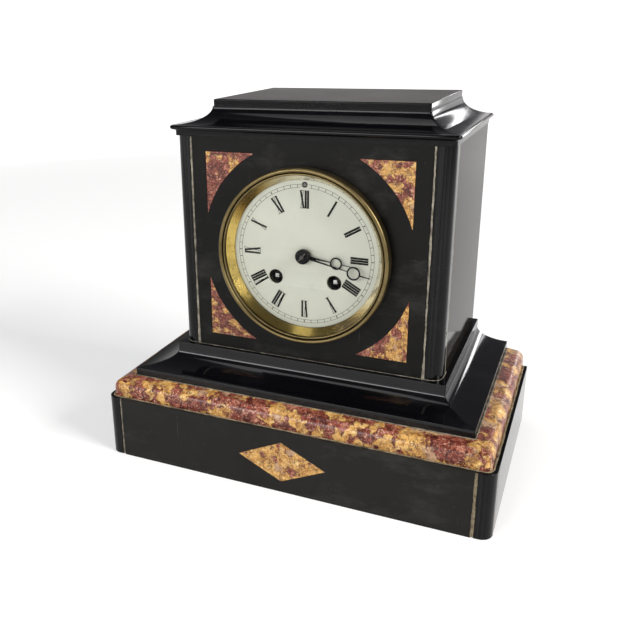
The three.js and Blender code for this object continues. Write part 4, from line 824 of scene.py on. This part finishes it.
hour_hand = moon_hand("hour_hand_moon", hub=4.4, bore=2.85, base=0.80, place=20.8, ring=3.8, inner=2.9,
                      tip=31.0, point=0.14, angle=97.0, front=-2.1)
dress(hour_hand, black_steel, "hour_hand", ("hour_hand",))
minute_hand = moon_hand("minute_hand_moon", hub=4.6, bore=1.95, base=0.55, place=32.8, ring=4.2, inner=3.3,
                        tip=43.2, point=0.12, angle=102.2, front=-3.8)
collet_section = [(0.0, -4.7), (3.6, -4.7), (4.2, -4.55), (4.55, -4.2), (4.6, -3.4), (0.0, -3.4)]
weld(minute_hand, lathe("collet", collet_section, sides=64, smooth=30))
dress(minute_hand, black_steel, "minute_hand", ("minute_hand",))

tip_section = [(0.0, -5.5), (0.8, -5.5), (1.1, -5.25), (1.15, -4.6), (0.0, -4.6)]
arbor_tip = lathe("hand_arbor_tip", tip_section, sides=40, smooth=30)
dress(arbor_tip, dark_steel, "minute_hand")
PIN_HOUR, PIN_FRONT, PIN_REAR, PIN_EDGE = 1.3, -5.25, -4.68, 0.1
pin_corners = ((-0.22, -3.2), (0.22, -3.2), (0.36, 3.3), (-0.36, 3.3))
pin_outline = [on_dial(u, v, PIN_HOUR) for u, v in pin_corners]
pin = plate("hand_taper_pin", [pin_outline], PIN_FRONT, PIN_REAR, PIN_EDGE)
dress(pin, dark_steel, "minute_hand")

# Movement and the rest of the metal, in the frame's own shapes
paint_nodes(bright_steel, "bezel_hinge_pin", "going_mainspring", "strike_mainspring", "pallet_anchor",
            "pendulum_rod", "hammer", "cannon_pinion")
paint_nodes(movement_brass, "back_plate", "going_barrel", "strike_barrel", "intermediate_wheel",
            "centre_wheel", "third_wheel", "escape_wheel", "minute_wheel", "hour_wheel",
            "strike_second_wheel", "strike_pin_wheel", "strike_warning_wheel", "strike_fly")
# The winding arbors are black steel so the winding holes read dark: painted shade
paint_nodes(black_steel, "going_winding_arbor", "strike_winding_arbor")
paint_nodes(dark_steel, "regulator_arbor")
# The front plate shows only through the winding holes; its dark brass is painted shade
paint_nodes(shaded_plate_brass, "front_plate")
paint_nodes(aged_brass, "dial_ring")

# Each winding square's end is bright steel against the black arbor: a painted highlight
WIND_END, WIND_EDGE, WIND_FRONT, WIND_REAR = 1.3, 0.2, 2.4, 3.1
for train, x in (("going", WIND_X), ("strike", -WIND_X)):
    square = [(x + a * WIND_END, WIND_Z + b * WIND_END) for a, b in ((-1, -1), (1, -1), (1, 1), (-1, 1))]
    end = plate(f"{train}_winding_square_end", [square], WIND_FRONT, WIND_REAR, WIND_EDGE)
    dress(end, bright_steel, f"{train}_winding_arbor")

# Turned pieces at the back: ring, lift-out cover, bell and bob
REAR = BACK - BODY_FRONT
ring_section = [(46.5, -13.0), (49.7, -13.0), (49.7, -2.0), (53.5, -2.0), (53.5, -0.8), (53.3, -0.2),
                (52.7, 0.0), (51.6, 0.0), (51.2, -0.5), (50.4, -0.5), (50.0, 0.0), (47.0, 0.0), (46.5, -0.5)]
back_ring = lathe("back_ring_turned", [(r, REAR + y) for r, y in ring_section], smooth=30)
dress(back_ring, aged_brass, replaced=("back_ring",))

COVER_RECESS, COVER_DISC, COVER_THICK, COVER_EDGE = 3.8, 46.1, 1.2, 0.25
COVER, VENT_PLACE, VENT = REAR - COVER_RECESS, 26.0, 3.0
vents = [circle(VENT, 40, VENT_PLACE * x, VENT_PLACE * z) for x, z in ((1, 0), (0, 1), (-1, 0), (0, -1))]
cover = plate("back_cover_turned", [circle(COVER_DISC, 160)] + vents, COVER - COVER_THICK, COVER, COVER_EDGE)
rim_section = [(45.0, -7), (46.2, -7), (46.2, -0.5), (45.8, 0.1), (45.0, 0.1)]
bead_section = arc(42.4, -0.1, 0.8, 0, FULL / 2, 10)
knob_section = [(0.0, -0.3), (3.3, -0.3), (3.0, 0.2), (2.2, 0.9), (2.3, 1.5), (3.0, 1.9), (3.2, 2.3),
                (2.9, 2.7), (2.2, 2.8), (0.0, 2.8)]
turnings = (("rim", rim_section, 160), ("bead", bead_section, 160), ("knob", knob_section, 48))
for name, section, sides in turnings:
    weld(cover, lathe(name, [(r, COVER + y) for r, y in section], sides, smooth=30))
dress(cover, aged_brass, "back_cover", ("back_cover",))

BELL, BELL_DEPTH, BELL_WALL, BELL_BORE, BELL_MOUTH = 33.0, 18.0, 1.6, 2.3, 66.0
bell_inside, depth_inside = BELL - BELL_WALL, BELL_DEPTH - BELL_WALL
bell_section = ellipse(0, BELL_MOUTH, BELL, BELL_DEPTH, 0, math.acos(BELL_BORE / BELL), 28)
bell_section += ellipse(0, BELL_MOUTH, bell_inside, depth_inside, math.acos(BELL_BORE / bell_inside), 0, 28)
bell = lathe("bell_dome", bell_section, sides=128)
dress(bell, bell_metal, replaced=("bell",))

BOB, BOB_HALF, BOB_Y, BOB_Z = 14.0, 4.0, 57.0, 39.5
bob_section = ellipse(0, BOB_Y, BOB, BOB_HALF, -FULL / 4, FULL / 4, 28)
bob = lathe("pendulum_bob_lens", bob_section, sides=96, middle=BOB_Z)
dress(bob, movement_brass, "pendulum", ("pendulum_bob",))

# Floor, backdrop, lamps and camera
FLOOR_TONE, FLOOR_LIFT = 0.70, 0.42
FLOOR_RINGS, FLOOR_REACH = (400.0, 1000.0), 1300.0
WALL_ROUND, WALL_TOP, WALL_SIDES = 250.0, 420.0, 96


def pale_stage(name, colour, lift):
    """A pale surface that keeps shadows, lifted where it is seen directly, mirrored or through glass."""
    s = Surface(name)
    rays = s.node("LightPath").outputs
    seen = s.math("MAXIMUM", rays["Is Camera Ray"], rays["Is Glossy Ray"])
    seen = s.math("MAXIMUM", seen, rays["Is Transmission Ray"])
    ground = s.node("BsdfDiffuse", {"Color": (colour, colour, colour, 1)})
    glow = s.node("Emission", {"Strength": s.math("MULTIPLY", seen, lift)})
    both = s.node("AddShader", {0: ground.outputs[0], 1: glow.outputs[0]})
    s.tree.links.new(both.outputs[0], s.tree.nodes["Material Output"].inputs["Surface"])
    s.tree.nodes.remove(s.shader)
    return s.material


stage_section = [(radius, 0.0) for radius in FLOOR_RINGS]
stage_section += arc(FLOOR_REACH, WALL_ROUND, WALL_ROUND, -FULL / 4, 0, 10)
stage_section += [(FLOOR_REACH + WALL_ROUND, WALL_TOP)]
rings = [[(x, y, z) for x, y in circle(r, WALL_SIDES)] for r, z in stage_section]
stage_verts, stage_faces = skin(rings, closed=False)
stage_faces.append(tuple(range(WALL_SIDES)))
floor = add_object("floor", stage_verts, stage_faces, smooth=60)
floor.data.materials.append(pale_stage("pale_floor", FLOOR_TONE, FLOOR_LIFT))


def lamp(name, place, aim, width, height, power, colour=(1, 1, 1)):
    """A soft lamp, its place and size in metres and its power in watts."""
    data = bpy.data.lights.new(name, "AREA")
    data.shape = "RECTANGLE"
    data.size, data.size_y, data.energy, data.color = width, height, power, colour
    made = bpy.data.objects.new(name, data)
    made.location = place
    made.visible_camera = False
    made.rotation_euler = (Vector(aim) - Vector(place)).to_track_quat("-Z", "Y").to_euler()
    scene.collection.objects.link(made)


lamp("key", (2.9, -0.5, 1.7), (0, 0, 0.12), width=1.4, height=1.2, power=132.0, colour=(1.0, 0.98, 0.95))
lamp("front", (-0.52, -1.38, 0.60), (0, 0, 0.12), width=0.85, height=0.42, power=11.0)
lamp("top", (-0.7, 0.2, 2.9), (0, 0, 0.1), width=2.6, height=1.0, power=16.0)
lamp("strip", (0.51, 1.35, 0.34), (0.1, 0, 0.15), width=0.10, height=0.44, power=1.35)
lamp("back", (0.20, 1.42, 0.52), (0.05, 0, 0.22), width=0.5, height=0.03, power=0.4)

# A dim grey world for the light, white where the camera sees it
world = bpy.data.worlds.new("studio")
world.use_nodes = True
sky = world.node_tree
sky.nodes["Background"].inputs["Color"].default_value = (0.13, 0.13, 0.14, 1)
white = sky.nodes.new("ShaderNodeBackground")
white.inputs["Color"].default_value = (1, 1, 1, 1)
choice = sky.nodes.new("ShaderNodeMixShader")
sky.links.new(sky.nodes.new("ShaderNodeLightPath").outputs["Is Camera Ray"], choice.inputs["Fac"])
sky.links.new(sky.nodes["Background"].outputs[0], choice.inputs[1])
sky.links.new(white.outputs[0], choice.inputs[2])
sky.links.new(choice.outputs[0], sky.nodes["World Output"].inputs["Surface"])
scene.world = world

# Camera fitted to the stone edges of the photo: turns in radians, focal length and centre in pixels
YAW, PITCH, ROLL, FOCAL, CENTRE_X, CENTRE_Y = 0.4381, -0.3310, -0.0220, 758.10, 250.96, 289.42
IMAGE, SENSOR = 640.0, 36.0
CAMERA_PLACE = (157.28, -449.71, 272.51)
forward = Vector((-math.sin(YAW) * math.cos(PITCH), math.cos(YAW) * math.cos(PITCH), math.sin(PITCH)))
level = Vector((math.cos(YAW), math.sin(YAW), 0))
upright = level.cross(forward)
right = math.cos(ROLL) * level + math.sin(ROLL) * upright
above = -math.sin(ROLL) * level + math.cos(ROLL) * upright
lens = bpy.data.cameras.new("camera")
lens.sensor_width = SENSOR
lens.sensor_fit = "HORIZONTAL"
lens.lens = FOCAL / IMAGE * SENSOR
lens.shift_x = (IMAGE / 2 - CENTRE_X) / IMAGE
lens.shift_y = (CENTRE_Y - IMAGE / 2) / IMAGE
lens.clip_start = 0.01
camera = bpy.data.objects.new("camera", lens)
turn = Matrix((right, above, -forward)).transposed().to_4x4()
camera.matrix_world = Matrix.Translation(Vector(CAMERA_PLACE) * MM) @ turn
scene.collection.objects.link(camera)
scene.camera = camera
scene.view_settings.view_transform = "Standard"
